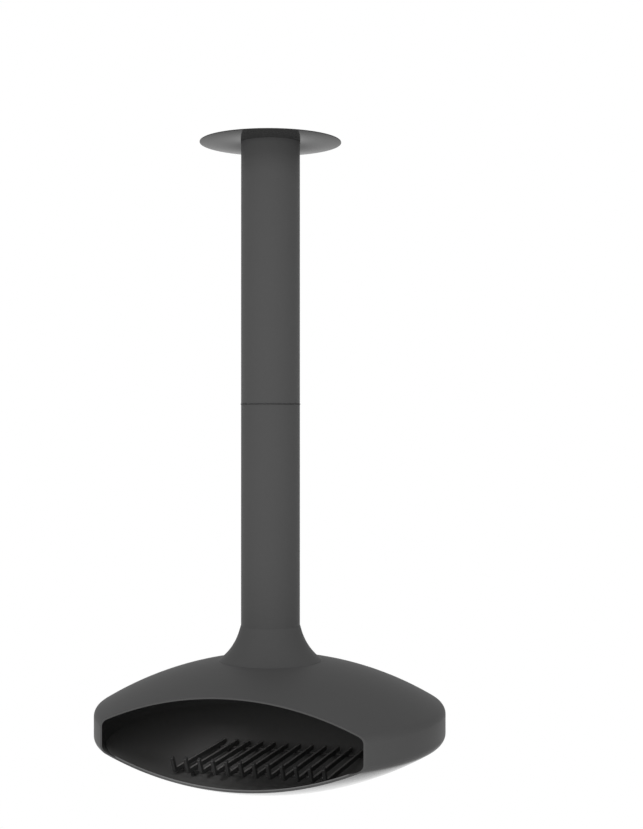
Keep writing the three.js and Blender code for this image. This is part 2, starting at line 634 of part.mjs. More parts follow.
function neckNut(x, y) {
  const nut = rod(NECK_BOLT_DIAMETER * HEX_RADIUS, neckNutBottom(), neckNutTop(), x, y, 6);
  const bore = NECK_BOLT_DIAMETER / 2 + SEAT_GAP;
  return nut.subtract(rod(bore, neckNutBottom() - CUT, neckNutTop() + CUT, x, y));
}

function buildNeck() {
  add("neck_flange", neckFlange(), RAW_STEEL);
  neckBoltPlaces().forEach(([x, y], i) => {
    add(`neck_bolt_${i + 1}`, neckBolt(x, y), ZINC);
    add(`neck_nut_${i + 1}`, neckNut(x, y), ZINC);
  });
  add("collar", collar(), PAINT);
}

// ---- Damper -------------------------------------------------------------------------------------

const LEVER_FACE = TUBE_RADIUS + BUSH_HEAD_THICKNESS + 2 * SEAT_GAP;
const SPINDLE_RADIUS = SPINDLE_DIAMETER / 2;

// The bush is pushed into the tube's wall from outside; side is 1 for +X and -1 for -X.
function damperBush(side) {
  const inner = TUBE_BORE - BUSH_REACH;
  const headInner = TUBE_RADIUS + SEAT_GAP;
  const headOuter = headInner + BUSH_HEAD_THICKNESS;
  const barrel = xRod(BUSH_DIAMETER / 2, side * inner, side * (headInner + OVERLAP), 0);
  const head = xRod(BUSH_HEAD_DIAMETER / 2, side * headInner, side * headOuter, 0);
  const bore = xRod(SPINDLE_RADIUS + BUSH_RUN_GAP, side * (inner - CUT), side * (headOuter + CUT), 0);
  return barrel.add(head).subtract(bore);
}

// A cylinder along X at the spindle's height, between two ends in either order.
function xRod(radius, end, otherEnd, y) {
  return crossRod(radius, Math.min(end, otherEnd), Math.max(end, otherEnd), y, SPINDLE_HEIGHT);
}

// The middle of the spindle is filed flat, and the disc is screwed to the flat.
function damperSpindle() {
  const spindle = xRod(SPINDLE_RADIUS, -TUBE_RADIUS - SPINDLE_STUB, TUBE_RADIUS + SPINDLE_OVERHANG, 0);
  const length = DAMPER_DISC_RADIUS + SEAT_GAP;
  const flat = block(
    -length,
    length,
    -DAMPER_DISC_THICKNESS / 2 - SEAT_GAP,
    SPINDLE_RADIUS + CUT,
    SPINDLE_HEIGHT - SPINDLE_RADIUS - CUT,
    SPINDLE_HEIGHT + SPINDLE_RADIUS + CUT,
  );
  let filed = spindle.subtract(flat);
  for (const x of damperScrewPlaces()) {
    filed = filed.subtract(damperScrewHole(x));
  }
  return filed;
}

function damperScrewPlaces() {
  return [-DAMPER_SCREW_SPACING / 2, DAMPER_SCREW_SPACING / 2];
}

// A cylinder along Y at the spindle's height.
function yRod(radius, front, back, x) {
  const geometry = new THREE.CylinderGeometry(radius, radius, back - front, SMALL_SIDES);
  return solid(geometry.translate(x, (front + back) / 2, SPINDLE_HEIGHT));
}

function damperScrewHole(x) {
  return yRod(DAMPER_SCREW_DIAMETER / 2 + SEAT_GAP, -SPINDLE_RADIUS - CUT, SPINDLE_RADIUS + CUT, x);
}

function damperDisc() {
  let disc = yRod(DAMPER_DISC_RADIUS, -DAMPER_DISC_THICKNESS / 2, DAMPER_DISC_THICKNESS / 2, 0);
  for (const x of damperScrewPlaces()) {
    disc = disc.subtract(damperScrewHole(x));
  }
  return disc;
}

function damperScrew(x) {
  const headSeat = DAMPER_DISC_THICKNESS / 2 + SEAT_GAP;
  const headTop = headSeat + DAMPER_SCREW_HEAD_HEIGHT;
  const shank = yRod(DAMPER_SCREW_DIAMETER / 2, -SPINDLE_RADIUS, headSeat + OVERLAP, x);
  return shank.add(yRod(DAMPER_SCREW_DIAMETER * PAN_HEAD_RADIUS, headSeat, headTop, x));
}

// A flat lever that hangs from the spindle's end, its hub round the spindle.
function damperLever() {
  const x0 = LEVER_FACE;
  const x1 = LEVER_FACE + LEVER_THICKNESS;
  const hub = xRod(LEVER_HUB_RADIUS, x0, x1, 0);
  const tip = SPINDLE_HEIGHT - LEVER_LENGTH;
  const arm = block(x0, x1, -LEVER_WIDTH / 2, LEVER_WIDTH / 2, tip, SPINDLE_HEIGHT);
  const bore = xRod(SPINDLE_RADIUS + SEAT_GAP, x0 - CUT, x1 + CUT, 0);
  const knobHole = crossRod(KNOB_STEM_DIAMETER / 2 + SEAT_GAP, x0 - CUT, x1 + CUT, 0, knobHeight());
  return hub.add(arm).subtract(bore).subtract(knobHole);
}

function knobHeight() {
  return SPINDLE_HEIGHT - LEVER_LENGTH + LEVER_WIDTH / 2;
}

function damperKnob() {
  const x1 = LEVER_FACE + LEVER_THICKNESS;
  const centre = x1 + KNOB_STEM_LENGTH + KNOB_RADIUS;
  const stem = crossRod(KNOB_STEM_DIAMETER / 2, LEVER_FACE, centre, 0, knobHeight());
  const shoulder = crossRod(KNOB_SHOULDER_DIAMETER / 2, x1 + SEAT_GAP, centre, 0, knobHeight());
  const sphere = new THREE.SphereGeometry(KNOB_RADIUS, SMALL_SIDES, KNOB_RINGS);
  return stem.add(shoulder).add(solid(sphere.translate(centre, 0, knobHeight())));
}

function buildDamper() {
  add("damper_bush_left", damperBush(-1), STAINLESS);
  add("damper_bush_right", damperBush(1), STAINLESS);
  add("damper_spindle", damperSpindle(), STAINLESS);
  add("damper_disc", damperDisc(), FIREBOX_PAINT);
  damperScrewPlaces().forEach((x, i) => add(`damper_screw_${i + 1}`, damperScrew(x), ZINC));
  add("damper_lever", damperLever(), FIREBOX_PAINT);
  add("damper_knob", damperKnob(), GRATE_STEEL);
}

// ---- Grate --------------------------------------------------------------------------------------

// Side view of a bar: straight along Y, its front end bent up, leaning out and cut square.
function grateBar(x) {
  const lean = Math.atan2(BAR_TIP_LEAN, BAR_TIP_RISE);
  const [outward, upward] = [Math.sin(lean), Math.cos(lean)]; // along the tip
  const corner = -BAR_FRONT + (BAR_HEIGHT * (1 - outward)) / upward; // inside the bend
  const tip = [-BAR_FRONT - BAR_TIP_LEAN, BAR_UNDERSIDE + BAR_TIP_RISE];
  const points = [
    [BAR_BACK - BAR_HEEL_CHAMFER, BAR_UNDERSIDE],
    [BAR_BACK, BAR_UNDERSIDE + BAR_HEEL_CHAMFER],
    [BAR_BACK, BAR_TOP - BAR_END_CHAMFER],
    [BAR_BACK - BAR_END_CHAMFER, BAR_TOP],
    [corner + BAR_END_CHAMFER, BAR_TOP],
    [corner - BAR_END_CHAMFER * outward, BAR_TOP + BAR_END_CHAMFER * upward],
    [tip[0] + BAR_HEIGHT * upward, tip[1] + BAR_HEIGHT * outward],
    tip,
    [-BAR_FRONT - BAR_END_CHAMFER * outward, BAR_UNDERSIDE + BAR_END_CHAMFER * upward],
    [-BAR_FRONT + BAR_END_CHAMFER, BAR_UNDERSIDE],
  ];
  return sidePlate(points.reverse(), BAR_WIDTH, x);
}

// A foot from the rail down to the liner, its sole following the liner.
function grateFoot(x, y) {
  const floor = bowlArc(LINER_TOP_OFFSET + SEAT_GAP).reverse();
  const below = BOWL_BOTTOM - CUT;
  const foot = rod(FOOT_RADIUS, BOWL_BOTTOM, RAIL_UNDERSIDE - SEAT_GAP, x, y);
  return foot.subtract(turned([[0, below], [floor[0][0], below], ...floor]));
}

function buildGrate() {
  for (let i = 0; i < BAR_COUNT; i += 1) {
    const x = (i - (BAR_COUNT - 1) / 2) * BAR_PITCH;
    add(`grate_bar_${i + 1}`, grateBar(x), GRATE_STEEL);
  }
  const rails = { front: FRONT_RAIL_Y, back: BACK_RAIL_Y };
  for (const [place, y] of Object.entries(rails)) {
    const half = RAIL_LENGTH / 2;
    const rail = block(-half, half, y - RAIL_WIDTH / 2, y + RAIL_WIDTH / 2, RAIL_UNDERSIDE, RAIL_TOP);
    add(`grate_rail_${place}`, rail, GRATE_STEEL);
    add(`grate_foot_${place}_left`, grateFoot(-FOOT_X, y), GRATE_STEEL);
    add(`grate_foot_${place}_right`, grateFoot(FOOT_X, y), GRATE_STEEL);
  }
}

buildCeilingSide();
buildSwivel();
buildFireBody();
buildNeck();
buildDamper();
buildGrate();

export default part;
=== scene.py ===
# %% [markdown]
# # A hanging fireplace, dressed for the picture
#
# The imported model holds the true sizes and the moving bodies of the fireplace: a ceiling plate with
# a flue tube, a fire body that turns on it, a damper in the flue and a grate that lifts out. This
# lesson puts the looks on that frame: fine round sheet metal, forged bars, paint and light.
#
# Everything is in metres. The origin is on the tube's axis in the plane of the ceiling, +Z is up,
# and the opening of the fire body faces -Y. The first cell loads the frame.

# %% Load the frame
import json
import math

import bpy
import numpy as np
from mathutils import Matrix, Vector


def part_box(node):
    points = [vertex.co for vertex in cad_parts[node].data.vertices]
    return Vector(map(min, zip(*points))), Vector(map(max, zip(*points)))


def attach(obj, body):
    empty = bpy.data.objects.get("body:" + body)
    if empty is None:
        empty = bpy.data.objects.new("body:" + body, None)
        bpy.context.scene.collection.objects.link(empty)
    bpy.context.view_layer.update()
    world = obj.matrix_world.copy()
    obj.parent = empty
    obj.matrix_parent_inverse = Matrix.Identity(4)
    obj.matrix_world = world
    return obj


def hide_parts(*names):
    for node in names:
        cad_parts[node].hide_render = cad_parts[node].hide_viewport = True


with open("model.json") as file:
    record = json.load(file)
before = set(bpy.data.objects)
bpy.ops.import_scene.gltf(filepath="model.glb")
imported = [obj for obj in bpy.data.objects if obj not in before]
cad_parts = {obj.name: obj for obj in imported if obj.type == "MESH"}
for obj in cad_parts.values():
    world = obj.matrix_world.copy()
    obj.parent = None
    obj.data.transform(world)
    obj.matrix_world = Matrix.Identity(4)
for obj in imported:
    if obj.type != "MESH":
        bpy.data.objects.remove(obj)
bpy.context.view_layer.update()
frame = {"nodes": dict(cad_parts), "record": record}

# %% [markdown]
# ## Sizes
#
# Sizes that the frame can tell are measured on its nodes. The radii of the two large domes can't be
# read off a box, so they are repeated here from the part's drawing. MM turns millimetres, in which
# a metal worker thinks, into the metres that Blender works in.

# %% Sizes measured on the frame, and sizes from the drawing
MM = 0.001
FULL_TURN = 2 * math.pi
tube_low, tube_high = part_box("lower_tube")
upper_low, upper_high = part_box("upper_tube")
ring_low, ring_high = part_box("seam_ring")
rosette_low, rosette_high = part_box("ceiling_rosette")
hood_low, hood_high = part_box("hood_shell")
bowl_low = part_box("bowl_shell")[0]
liner_low, liner_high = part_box("hearth_liner")

TUBE_RADIUS = tube_high.x
TUBE_WALL = 1.5 * MM
SEAM_HEIGHT = (ring_low.z + ring_high.z) / 2
ROSETTE_RADIUS = rosette_high.x
ROSETTE_CLEARANCE = 0.7 * MM
BODY_RADIUS = hood_high.x
BODY_WALL = 5 * MM
OPENING_Y = hood_low.y
HOOD_SPHERE = 1137 * MM
BOWL_SPHERE = 1133 * MM
SHOULDER = 32 * MM
NECK_HOLE = TUBE_RADIUS + 0.4 * MM
HOOD_CENTRE = hood_high.z - math.sqrt(HOOD_SPHERE**2 - NECK_HOLE**2)
BOWL_CENTRE = bowl_low.z + BOWL_SPHERE
SHOULDER_CIRCLE = BODY_RADIUS - SHOULDER
BAND_TOP = HOOD_CENTRE + math.sqrt((HOOD_SPHERE - SHOULDER) ** 2 - SHOULDER_CIRCLE**2)
BAND_BOTTOM = BOWL_CENTRE - math.sqrt((BOWL_SPHERE - SHOULDER) ** 2 - SHOULDER_CIRCLE**2)
print(f"tube {TUBE_RADIUS:.4f}, body {BODY_RADIUS:.4f}, opening at y {OPENING_Y:.4f}")
print(f"plain band from {BAND_BOTTOM:.4f} to {BAND_TOP:.4f}, seam at {SEAM_HEIGHT:.4f}")

# %% [markdown]
# ## The camera
#
# The picture was taken level, 50 mm below the tube's seam, about five metres away and 19 degrees
# round from the opening. Height and distance come from the outline of the fire body, fitted as a
# turned body, and the rosette's ellipse agrees with them. The tube stands left of the picture's
# middle, so the camera is aimed a little to its right and a hair up. The focal length in pixels
# becomes a lens length through the sensor's width, which Blender lays along the picture's long side.

# %% Camera
PICTURE_WIDTH, PICTURE_HEIGHT = 643, 829
FOCAL_PIXELS = 1431.96
AXIS_COLUMN, HORIZON_ROW = 270.5, 418.7
CAMERA_DISTANCE = 4.942
CAMERA_BELOW_SEAM = 50 * MM
CAMERA_AZIMUTH = math.radians(19.42)
SENSOR = 36.0

camera_data = bpy.data.cameras.new("camera")
camera = bpy.data.objects.new("camera", camera_data)
bpy.context.scene.collection.objects.link(camera)
camera_data.sensor_width = SENSOR
camera_data.lens = FOCAL_PIXELS * SENSOR / PICTURE_HEIGHT
camera.location = (
    CAMERA_DISTANCE * math.sin(CAMERA_AZIMUTH),
    -CAMERA_DISTANCE * math.cos(CAMERA_AZIMUTH),
    SEAM_HEIGHT - CAMERA_BELOW_SEAM,
)
turn_right = math.atan((PICTURE_WIDTH / 2 - AXIS_COLUMN) / FOCAL_PIXELS)
turn_up = math.atan((HORIZON_ROW - PICTURE_HEIGHT / 2) / FOCAL_PIXELS)
camera.rotation_euler = (math.pi / 2 + turn_up, 0, CAMERA_AZIMUTH - turn_right)
bpy.context.scene.camera = camera
print(f"lens {camera_data.lens:.2f} mm, turned {math.degrees(turn_right):.2f} degrees to the right")

# %% [markdown]
# ## Shader arithmetic
#
# A pattern on a surface is arithmetic on positions: noise times a strength plus a base. Written
# with nodes alone it is hard to read, so a small class stands for one socket and turns Python's
# operators into Math nodes. `1 - mask` needs the reflected form of the operator as well, because
# the number comes first there.

# %% Sockets that understand arithmetic
def add_node(tree, kind, settings, sockets, output=0):
    """A node of this kind: first its settings, then a link or a constant for each of its sockets."""
    made = tree.nodes.new(kind)
    for setting, value in settings.items():
        setattr(made, setting, value)
    for socket, value in sockets.items():
        if isinstance(value, Signal):
            tree.links.new(value.output, made.inputs[socket])
        else:
            made.inputs[socket].default_value = value
    return Signal(tree, made.outputs[output])


class Signal:
    """The output of a node. An operator on it adds a Math node and gives that node's output."""

    def __init__(self, tree, output):
        self.tree = tree
        self.output = output

    def math(self, operation, other, swap=False):
        first, second = (other, self) if swap else (self, other)
        sockets = {0: first, 1: second}
        return add_node(self.tree, "ShaderNodeMath", {"operation": operation}, sockets)

    def __add__(self, other):
        return self.math("ADD", other)

    __radd__ = __add__

    def __sub__(self, other):
        return self.math("SUBTRACT", other)

    def __rsub__(self, other):
        return self.math("SUBTRACT", other, swap=True)

    def __mul__(self, other):
        return self.math("MULTIPLY", other)

    __rmul__ = __mul__

    def between(self, low, high):
        """0 below low, 1 above high and a straight ramp in between."""
        sockets = {"Value": self, "From Min": low, "From Max": high}
        return add_node(self.tree, "ShaderNodeMapRange", {}, sockets)


print("Signal is ready: + - * and between()")

# %% [markdown]
# A finish is one material with a Principled shader, and `add_node` makes all of its other nodes.
# Values that stay the same all over a surface go straight to the shader's own sockets, and only what
# changes over the surface is linked.

# %% Finishes
finishes = {}


class Finish:
    """A material whose patterns are read from positions on the object, in metres."""

    def __init__(self, name, **constants):
        self.material = finishes[name] = bpy.data.materials.new(name)
        self.material.use_nodes = True
        self.tree = self.material.node_tree
        self.shader = self.tree.nodes["Principled BSDF"]
        for socket, value in constants.items():
            self.shader.inputs[socket.replace("_", " ")].default_value = value
        self.place = self.node("ShaderNodeTexCoord", output="Object")

    def node(self, kind, settings=None, output=0, **inputs):
        sockets = {socket.replace("_", " "): value for socket, value in inputs.items()}
        return add_node(self.tree, kind, settings or {}, sockets, output)

    def stretched(self, scale):
        """The place on the object, multiplied along X, Y and Z."""
        return self.node("ShaderNodeMapping", Vector=self.place, Scale=scale)

    def noise(self, grain, detail=2.0, roughness=0.5, at=None):
        """Soft noise from 0 to 1 whose patches are about `grain` metres wide."""
        return self.node(
            "ShaderNodeTexNoise",
            output="Fac",
            Vector=at or self.place,
            Scale=1.0 / grain,
            Detail=detail,
            Roughness=roughness,
        )

    def facing_up(self):
        """1 on what faces up, 0 on what stands upright and -1 on what faces down."""
        normal = self.node("ShaderNodeTexCoord", output="Normal")
        return self.node("ShaderNodeSeparateXYZ", output="Z", Vector=normal)

    def mixed(self, factor, first, second):
        """A colour that goes from first to second as the factor goes from 0 to 1."""
        sockets = {0: factor, 6: first, 7: second}
        return add_node(self.tree, "ShaderNodeMix", {"data_type": "RGBA"}, sockets, output=2)

    def tinted(self, pattern, brightness, spread, warmth=0.0):
        """A grey that the pattern makes darker or brighter by up to this share."""
        dark, pale = brightness * (1 - spread), brightness * (1 + spread)
        return self.mixed(pattern, grey(dark, warmth), grey(pale, warmth))

    def feed(self, socket, signal):
        self.tree.links.new(signal.output, self.shader.inputs[socket])

    def bump(self, height, depth):
        """Lets light fall as if the surface rose by depth metres where the height is 1."""
        amount = {"Distance": depth, "Strength": 1.0}
        self.feed("Normal", self.node("ShaderNodeBump", output="Normal", Height=height, **amount))


def grey(value, warmth=0.0):
    """A linear colour of this brightness, its red raised and its blue lowered by the warmth."""
    return (value * (1 + warmth), value, value * (1 - warmth), 1.0)


print("Finish is ready")

# %% [markdown]
# ## Paint on the outside
#
# The steel is coated in a satin anthracite, heat-resistant paint. Sprayed paint dries with a skin
# like very fine orange peel, and its film is a little thicker in some places than in others. Both
# are faint: the finish should look calm from across a room and alive from close by. Noise at three
# sizes gives it, the finest as bump.

# %% Satin anthracite paint
CLOUD, MOTTLE, PEEL = 350 * MM, 12 * MM, 2.2 * MM
HAZE_RANGE = (-1, 0.3)  # facing_up where the haze starts and where it is full
GLOSS_RANGE = (-0.91, -0.84)  # facing_up where the clear coat starts to fade and where it ends


def painted(name, brightness, roughness, haze, peel, specular, gloss=0.0):
    """Sprayed paint: cloudy film, orange peel, and a sheen that fine dust dulls on what faces up.

    The roughness is the given one on what faces down and rises by `haze` to what faces up. Gloss is
    a clear coat on what faces down, where no dust lies. `peel` is the depth of the orange peel."""
    finish = Finish(name, Specular_IOR_Level=specular, Coat_Roughness=0.10)
    cloud = finish.noise(CLOUD, detail=3.0)
    mottle = finish.noise(MOTTLE)
    finish.feed("Base Color", finish.tinted(cloud * 0.7 + mottle * 0.3, brightness, 0.07))
    facing_up = finish.facing_up()
    sheen = (cloud + mottle) * 0.04 + (roughness - 0.04)
    finish.feed("Roughness", facing_up.between(*HAZE_RANGE) * haze + sheen)
    if gloss:
        finish.feed("Coat Weight", (1 - facing_up.between(*GLOSS_RANGE)) * gloss)
    finish.bump(finish.noise(PEEL, detail=1.0), peel)


painted("body_paint", 0.077, roughness=0.20, haze=0.36, peel=0.02 * MM, specular=0.05, gloss=1.0)
painted("rosette_paint", 0.036, roughness=0.08, haze=0.10, peel=0.01 * MM, specular=0.025)
# The seam bead's paint is darker: painted shade that stands for the shadow in the joint.
painted("seam_painted_shade", 0.050, roughness=0.25, haze=0.30, peel=0.02 * MM, specular=0.03)
print("painted:", sorted(finishes))

# %% [markdown]
# ## Paint in the firebox
#
# Inside, the steel has a matt dark grey coat that stands a fire. It is rougher than the paint
# outside, and a touch paler where fine ash dust has settled on what faces up. The dust is a mask on
# the normal's height, broken up a little by noise.

# %% Matt firebox paint
DUST_RANGE = (0.3, 1.0)  # facing_up where the dust starts and where it lies thickest


def dusted(name, brightness, roughness, dust, grain, grain_depth, **constants):
    """Matt heat-resistant coat with a dusting of ashes on what faces up."""
    finish = Finish(name, **constants)
    patches = finish.noise(60 * MM, detail=3.0)
    pale_top = finish.facing_up().between(*DUST_RANGE) * (patches * 0.4 + 0.8) * dust
    film = finish.noise(20 * MM, detail=3.0)
    coat = finish.tinted(film, brightness, 0.07)
    finish.feed("Base Color", finish.mixed(pale_top, coat, grey(0.30, warmth=0.04)))
    finish.feed("Roughness", film * 0.1 + pale_top * 0.2 + (roughness - 0.05))
    finish.bump(finish.noise(grain), grain_depth)


FIREBOX_GRAIN = {"grain": 1.6 * MM, "grain_depth": 0.08 * MM}
dusted("firebox_paint", 0.13, roughness=0.55, dust=0.15, Specular_IOR_Level=0.1, **FIREBOX_GRAIN)
print("firebox paint ready")

# %% [markdown]
# ## Forged steel of the grate
#
# The bars are flat steel, bent hot at the tip and blackened. Forging leaves shallow hammer dents of
# a thumb's width and a fine scale. What faces straight up is painted pale grey: partly ash and wear
# from the logs, partly a painted highlight that stands for light on the bars' tops. Dents and scale
# are two noises in the bump, and a mask on the normal's height finds what faces up. The rubbed
# corners are real rounded corners in the mesh, which catch the light by themselves.

# %% Blackened steel and the bare metals
# The bars' pale top is partly ash and wear, partly a painted highlight of light from above.
ASH_AND_HIGHLIGHT_RANGE = (0.90, 0.99)  # facing_up where the ash starts and where it lies thickest


def metal(name, brightness, roughness, grain, grain_depth, warmth=0.0, stretch=None):
    """Bare metal whose grain is stretched along a direction where it was drawn or turned."""
    finish = Finish(name, Metallic=1.0)
    at = finish.stretched(stretch) if stretch else finish.place
    grained = finish.noise(grain, detail=3.0, roughness=0.6, at=at)
    stain = finish.noise(grain * 20, detail=3.0)
    tone = (grained + stain) * 0.5
    finish.feed("Base Color", finish.tinted(tone, brightness, 0.2, warmth))
    finish.feed("Roughness", tone * 0.2 + (roughness - 0.1))
    finish.bump(grained, grain_depth)


def blackened_steel():
    """Scale, hammer dents, and pale grey on straight-up faces: ashes, wear and a painted highlight.
    """
    finish = Finish("grate_steel", Metallic=0.35, Specular_IOR_Level=0.5)
    scale = finish.noise(1.2 * MM, detail=3.0)
    dents = finish.noise(16 * MM, detail=1.0)
    coat = finish.mixed(scale, grey(0.045), grey(0.065))
    # Painted highlight, with ash and wear: straight-up faces are mixed towards a pale grey.
    pale_top = finish.facing_up().between(*ASH_AND_HIGHLIGHT_RANGE) * 0.75
    finish.feed("Base Color", finish.mixed(pale_top, coat, grey(0.50, warmth=0.02)))
    finish.feed("Roughness", dents * 0.12 + scale * 0.08 + 0.30)
    finish.bump(dents * 0.8 + scale * 0.2, 0.5 * MM)


blackened_steel()
metal("raw_steel", 0.22, roughness=0.42, grain=1.0 * MM, grain_depth=0.03 * MM)
metal("stainless", 0.45, roughness=0.30, grain=0.6 * MM, grain_depth=0.01 * MM, stretch=(1, 1, 12))
metal("zinc", 0.52, roughness=0.34, grain=4.0 * MM, grain_depth=0.02 * MM)
metal("bearing_bronze", 0.34, roughness=0.32, grain=0.8 * MM, grain_depth=0.01 * MM, warmth=0.38)
metal("magnet", 0.62, roughness=0.16, grain=3.0 * MM, grain_depth=0.01 * MM, warmth=0.03)
print("finishes:", sorted(finishes))

# %% [markdown]
# ## CAD nodes that stay
#
# Screws, magnets, the swivel's sleeve and the like already have their shape. They only get the
# finish that the record names for them.

# %% Finishes on the CAD nodes
slot_of_node = {row["node"]: row["material_slot"] for row in frame["record"]["subparts"]}
for name, node in frame["nodes"].items():
    finish = finishes[slot_of_node[name]]
    if not node.material_slots:
        node.data.materials.append(finish)
    for slot in node.material_slots:
        slot.material = finish
print("finished nodes:", len(slot_of_node))

# %% [markdown]
# ## From a sheet of points to a solid
#
# Every new piece is a sheet: a grid of points that a formula gives for two parameters. Several
# sheets whose edges meet are sewn into one closed solid by joining the points that lie on each
# other. At a pole a whole row of the grid is one point, so the squares there become triangles.

# %% Sewing sheets
JOIN_DISTANCE = 0.0002 * MM
SMOOTH_ANGLE, EDGE_ANGLE = math.radians(35), math.radians(50)
SIDEWAYS, BOTH_WAYS = (False, True), (True, True)  # do the rows, do the columns of a sheet close?


def quads(rows, columns, close_rows=False, close_columns=False):
    """Corner numbers of the squares of a grid, wrapped round where an edge closes on itself."""
    i = np.arange(rows if close_rows else rows - 1)[:, None]
    j = np.arange(columns if close_columns else columns - 1)[None, :]
    i, j = np.broadcast_arrays(i, j)
    i2, j2 = (i + 1) % rows, (j + 1) % columns
    corners = [i * columns + j, i2 * columns + j, i2 * columns + j2, i * columns + j2]
    return np.stack(corners, -1).reshape(-1, 4)


def face_normals(points, faces):
    """Twice each square's area times its normal: the cross product of its two diagonals."""
    a, b, c, d = (points[faces[:, k]] for k in range(4))
    return np.cross(c - a, d - b)


def sew(name, sheets, materials):
    """One mesh object from (grid of points, material number, closings, which way is out) sheets.

    A sheet's faces are turned over where most of them look away from the direction that its last
    item gives for every face's middle."""
    points, faces, paints = [], [], []
    for grid, paint, closings, outwards in sheets:
        rows, columns = grid.shape[:2]
        own = grid.reshape(-1, 3)
        own_faces = quads(rows, columns, *closings)
        normals = face_normals(own, own_faces)
        middles = own[own_faces].mean(1)
        if (normals * outwards(middles)).sum() < 0:
            own_faces = own_faces[:, ::-1]
        faces.append(own_faces + sum(len(p) for p in points))
        points.append(own)
        paints.append(np.full(len(own_faces), paint))
    points, faces, paints = np.concatenate(points), np.concatenate(faces), np.concatenate(paints)
    places = np.round(points / JOIN_DISTANCE).astype(np.int64)
    first, joined = np.unique(places, axis=0, return_index=True, return_inverse=True)[1:]
    points, faces = points[first], joined.reshape(-1)[faces]
    kept = faces != np.roll(faces, -1, axis=1)
    whole = kept.sum(1) >= 3
    faces, kept, paints = faces[whole], kept[whole], paints[whole]
    corner_counts = kept.sum(1)
    corners = faces[kept]
    starts = np.concatenate([[0], np.cumsum(corner_counts)[:-1]])

    mesh = bpy.data.meshes.new(name)
    mesh.vertices.add(len(points))
    mesh.vertices.foreach_set("co", points.astype(np.float32).ravel())
    mesh.loops.add(len(corners))
    mesh.loops.foreach_set("vertex_index", corners.astype(np.int32))
    mesh.polygons.add(len(starts))
    mesh.polygons.foreach_set("loop_start", starts.astype(np.int32))
    mesh.polygons.foreach_set("material_index", paints.astype(np.int32))
    for material in materials:
        mesh.materials.append(material)
    mesh.update(calc_edges=True)
    mesh.validate()
    mesh.shade_smooth()
    mesh.set_sharp_from_angle(angle=SMOOTH_ANGLE)
    piece = bpy.data.objects.new(name, mesh)
    bpy.context.scene.collection.objects.link(piece)
    print(f"{name}: {len(points)} points, {len(starts)} faces, open edges {open_edges(mesh)}")
    return piece


def open_edges(mesh):
    """The number of edges that don't lie between exactly two faces. A closed solid has none."""
    edge_numbers = np.zeros(len(mesh.loops), np.int32)
    mesh.loops.foreach_get("edge_index", edge_numbers)
    return int((np.bincount(edge_numbers, minlength=len(mesh.edges)) != 2).sum())


def away_from(centre):
    """Outwards means away from this point."""
    return lambda middles: middles - np.array(centre)


def towards(direction):
    """Outwards means this direction."""
    return lambda middles: np.broadcast_to(np.array(direction, float), middles.shape)


def dress(piece, body, slot, *nodes):
    """The piece rides on a body and stands for these CAD nodes, which it hides. Its slot is not used.
    """
    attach(piece, body)
    if nodes:
        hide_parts(*nodes)


def wrapped(name, grid, body, slot, *nodes, closings=SIDEWAYS, finish=None):
    """A dressed solid of one sheet, whose first and last row are points unless its rows close.

    Summed over a closed surface, area times normal times place is three times the volume, wherever
    the places are measured from. So on the whole its faces look away from any point."""
    outwards = away_from(grid.reshape(-1, 3).mean(0))
    piece = sew(name, [(grid, 0, closings, outwards)], [finishes[finish or slot]])
    dress(piece, body, slot, *nodes)


def round_edges(piece, width):
    """A bevel along every edge that is sharper than EDGE_ANGLE."""
    rounding = piece.modifiers.new("rounded edges", "BEVEL")
    rounding.width = width
    rounding.segments = 2
    rounding.limit_method = "ANGLE"
    rounding.angle_limit = EDGE_ANGLE


print("sheets can be sewn")

# %% [markdown]
# ## Turned and rolled pieces
#
# The tube, the rosette and the rings are profiles turned round the axis. An edge of sheet metal is
# never perfectly sharp: its radius of a few tenths of a millimetre catches a thread of light. So
# every corner of a profile is softened before it is turned.

# %% Softened profiles and turning
def softened(corners, radius, steps=4):
    """Each corner gives way to a curve that starts and ends `radius` away from it on its two sides
    and is drawn towards the corner: (1-s)^2 start + 2s(1-s) corner + s^2 end."""
    corners = np.array(corners, float)
    radius = np.broadcast_to(np.array(radius, float), len(corners))[:, None]
    before, after = np.roll(corners, 1, axis=0) - corners, np.roll(corners, -1, axis=0) - corners
    start = corners + before / np.linalg.norm(before, axis=1, keepdims=True) * radius
    end = corners + after / np.linalg.norm(after, axis=1, keepdims=True) * radius
    s = np.linspace(0, 1, steps)[None, :, None]
    curve = (1 - s) ** 2 * start[:, None] + 2 * s * (1 - s) * corners[:, None] + s**2 * end[:, None]
    return curve.reshape(-1, 2)


def round_angles(columns):
    """Angles in even steps once round, without the last one, which is the first again."""
    return np.linspace(0, FULL_TURN, columns, endpoint=False)


def turned(profile, columns=144):
    """Points [radius cos a, radius sin a, height] for every point of the profile and angle a."""
    angle = round_angles(columns)
    radius, height = profile[:, :1], profile[:, 1:]
    return np.stack([radius * np.cos(angle), radius * np.sin(angle), height + 0 * angle], -1)


def hoop(name, profile, body, slot, node, finish=None, columns=144):
    """A closed profile that is turned round the axis: a ring, a tube or a disc with a hole."""
    wrapped(name, turned(profile, columns), body, slot, node, closings=BOTH_WAYS, finish=finish)


def tube_profile(inner, outer, bottom, top, edge):
    """A rectangle of these radii and heights, its corners softened."""
    return softened([(inner, bottom), (outer, bottom), (outer, top), (inner, top)], edge)


print("profiles can be turned")

# %% [markdown]
# ## Flue tube and ceiling rosette
#
# The flue is rolled from 1.5 mm sheet, in two lengths that meet at the seam. The rosette is a flat
# disc that hangs a finger's width under the ceiling on magnets and hides the screws.

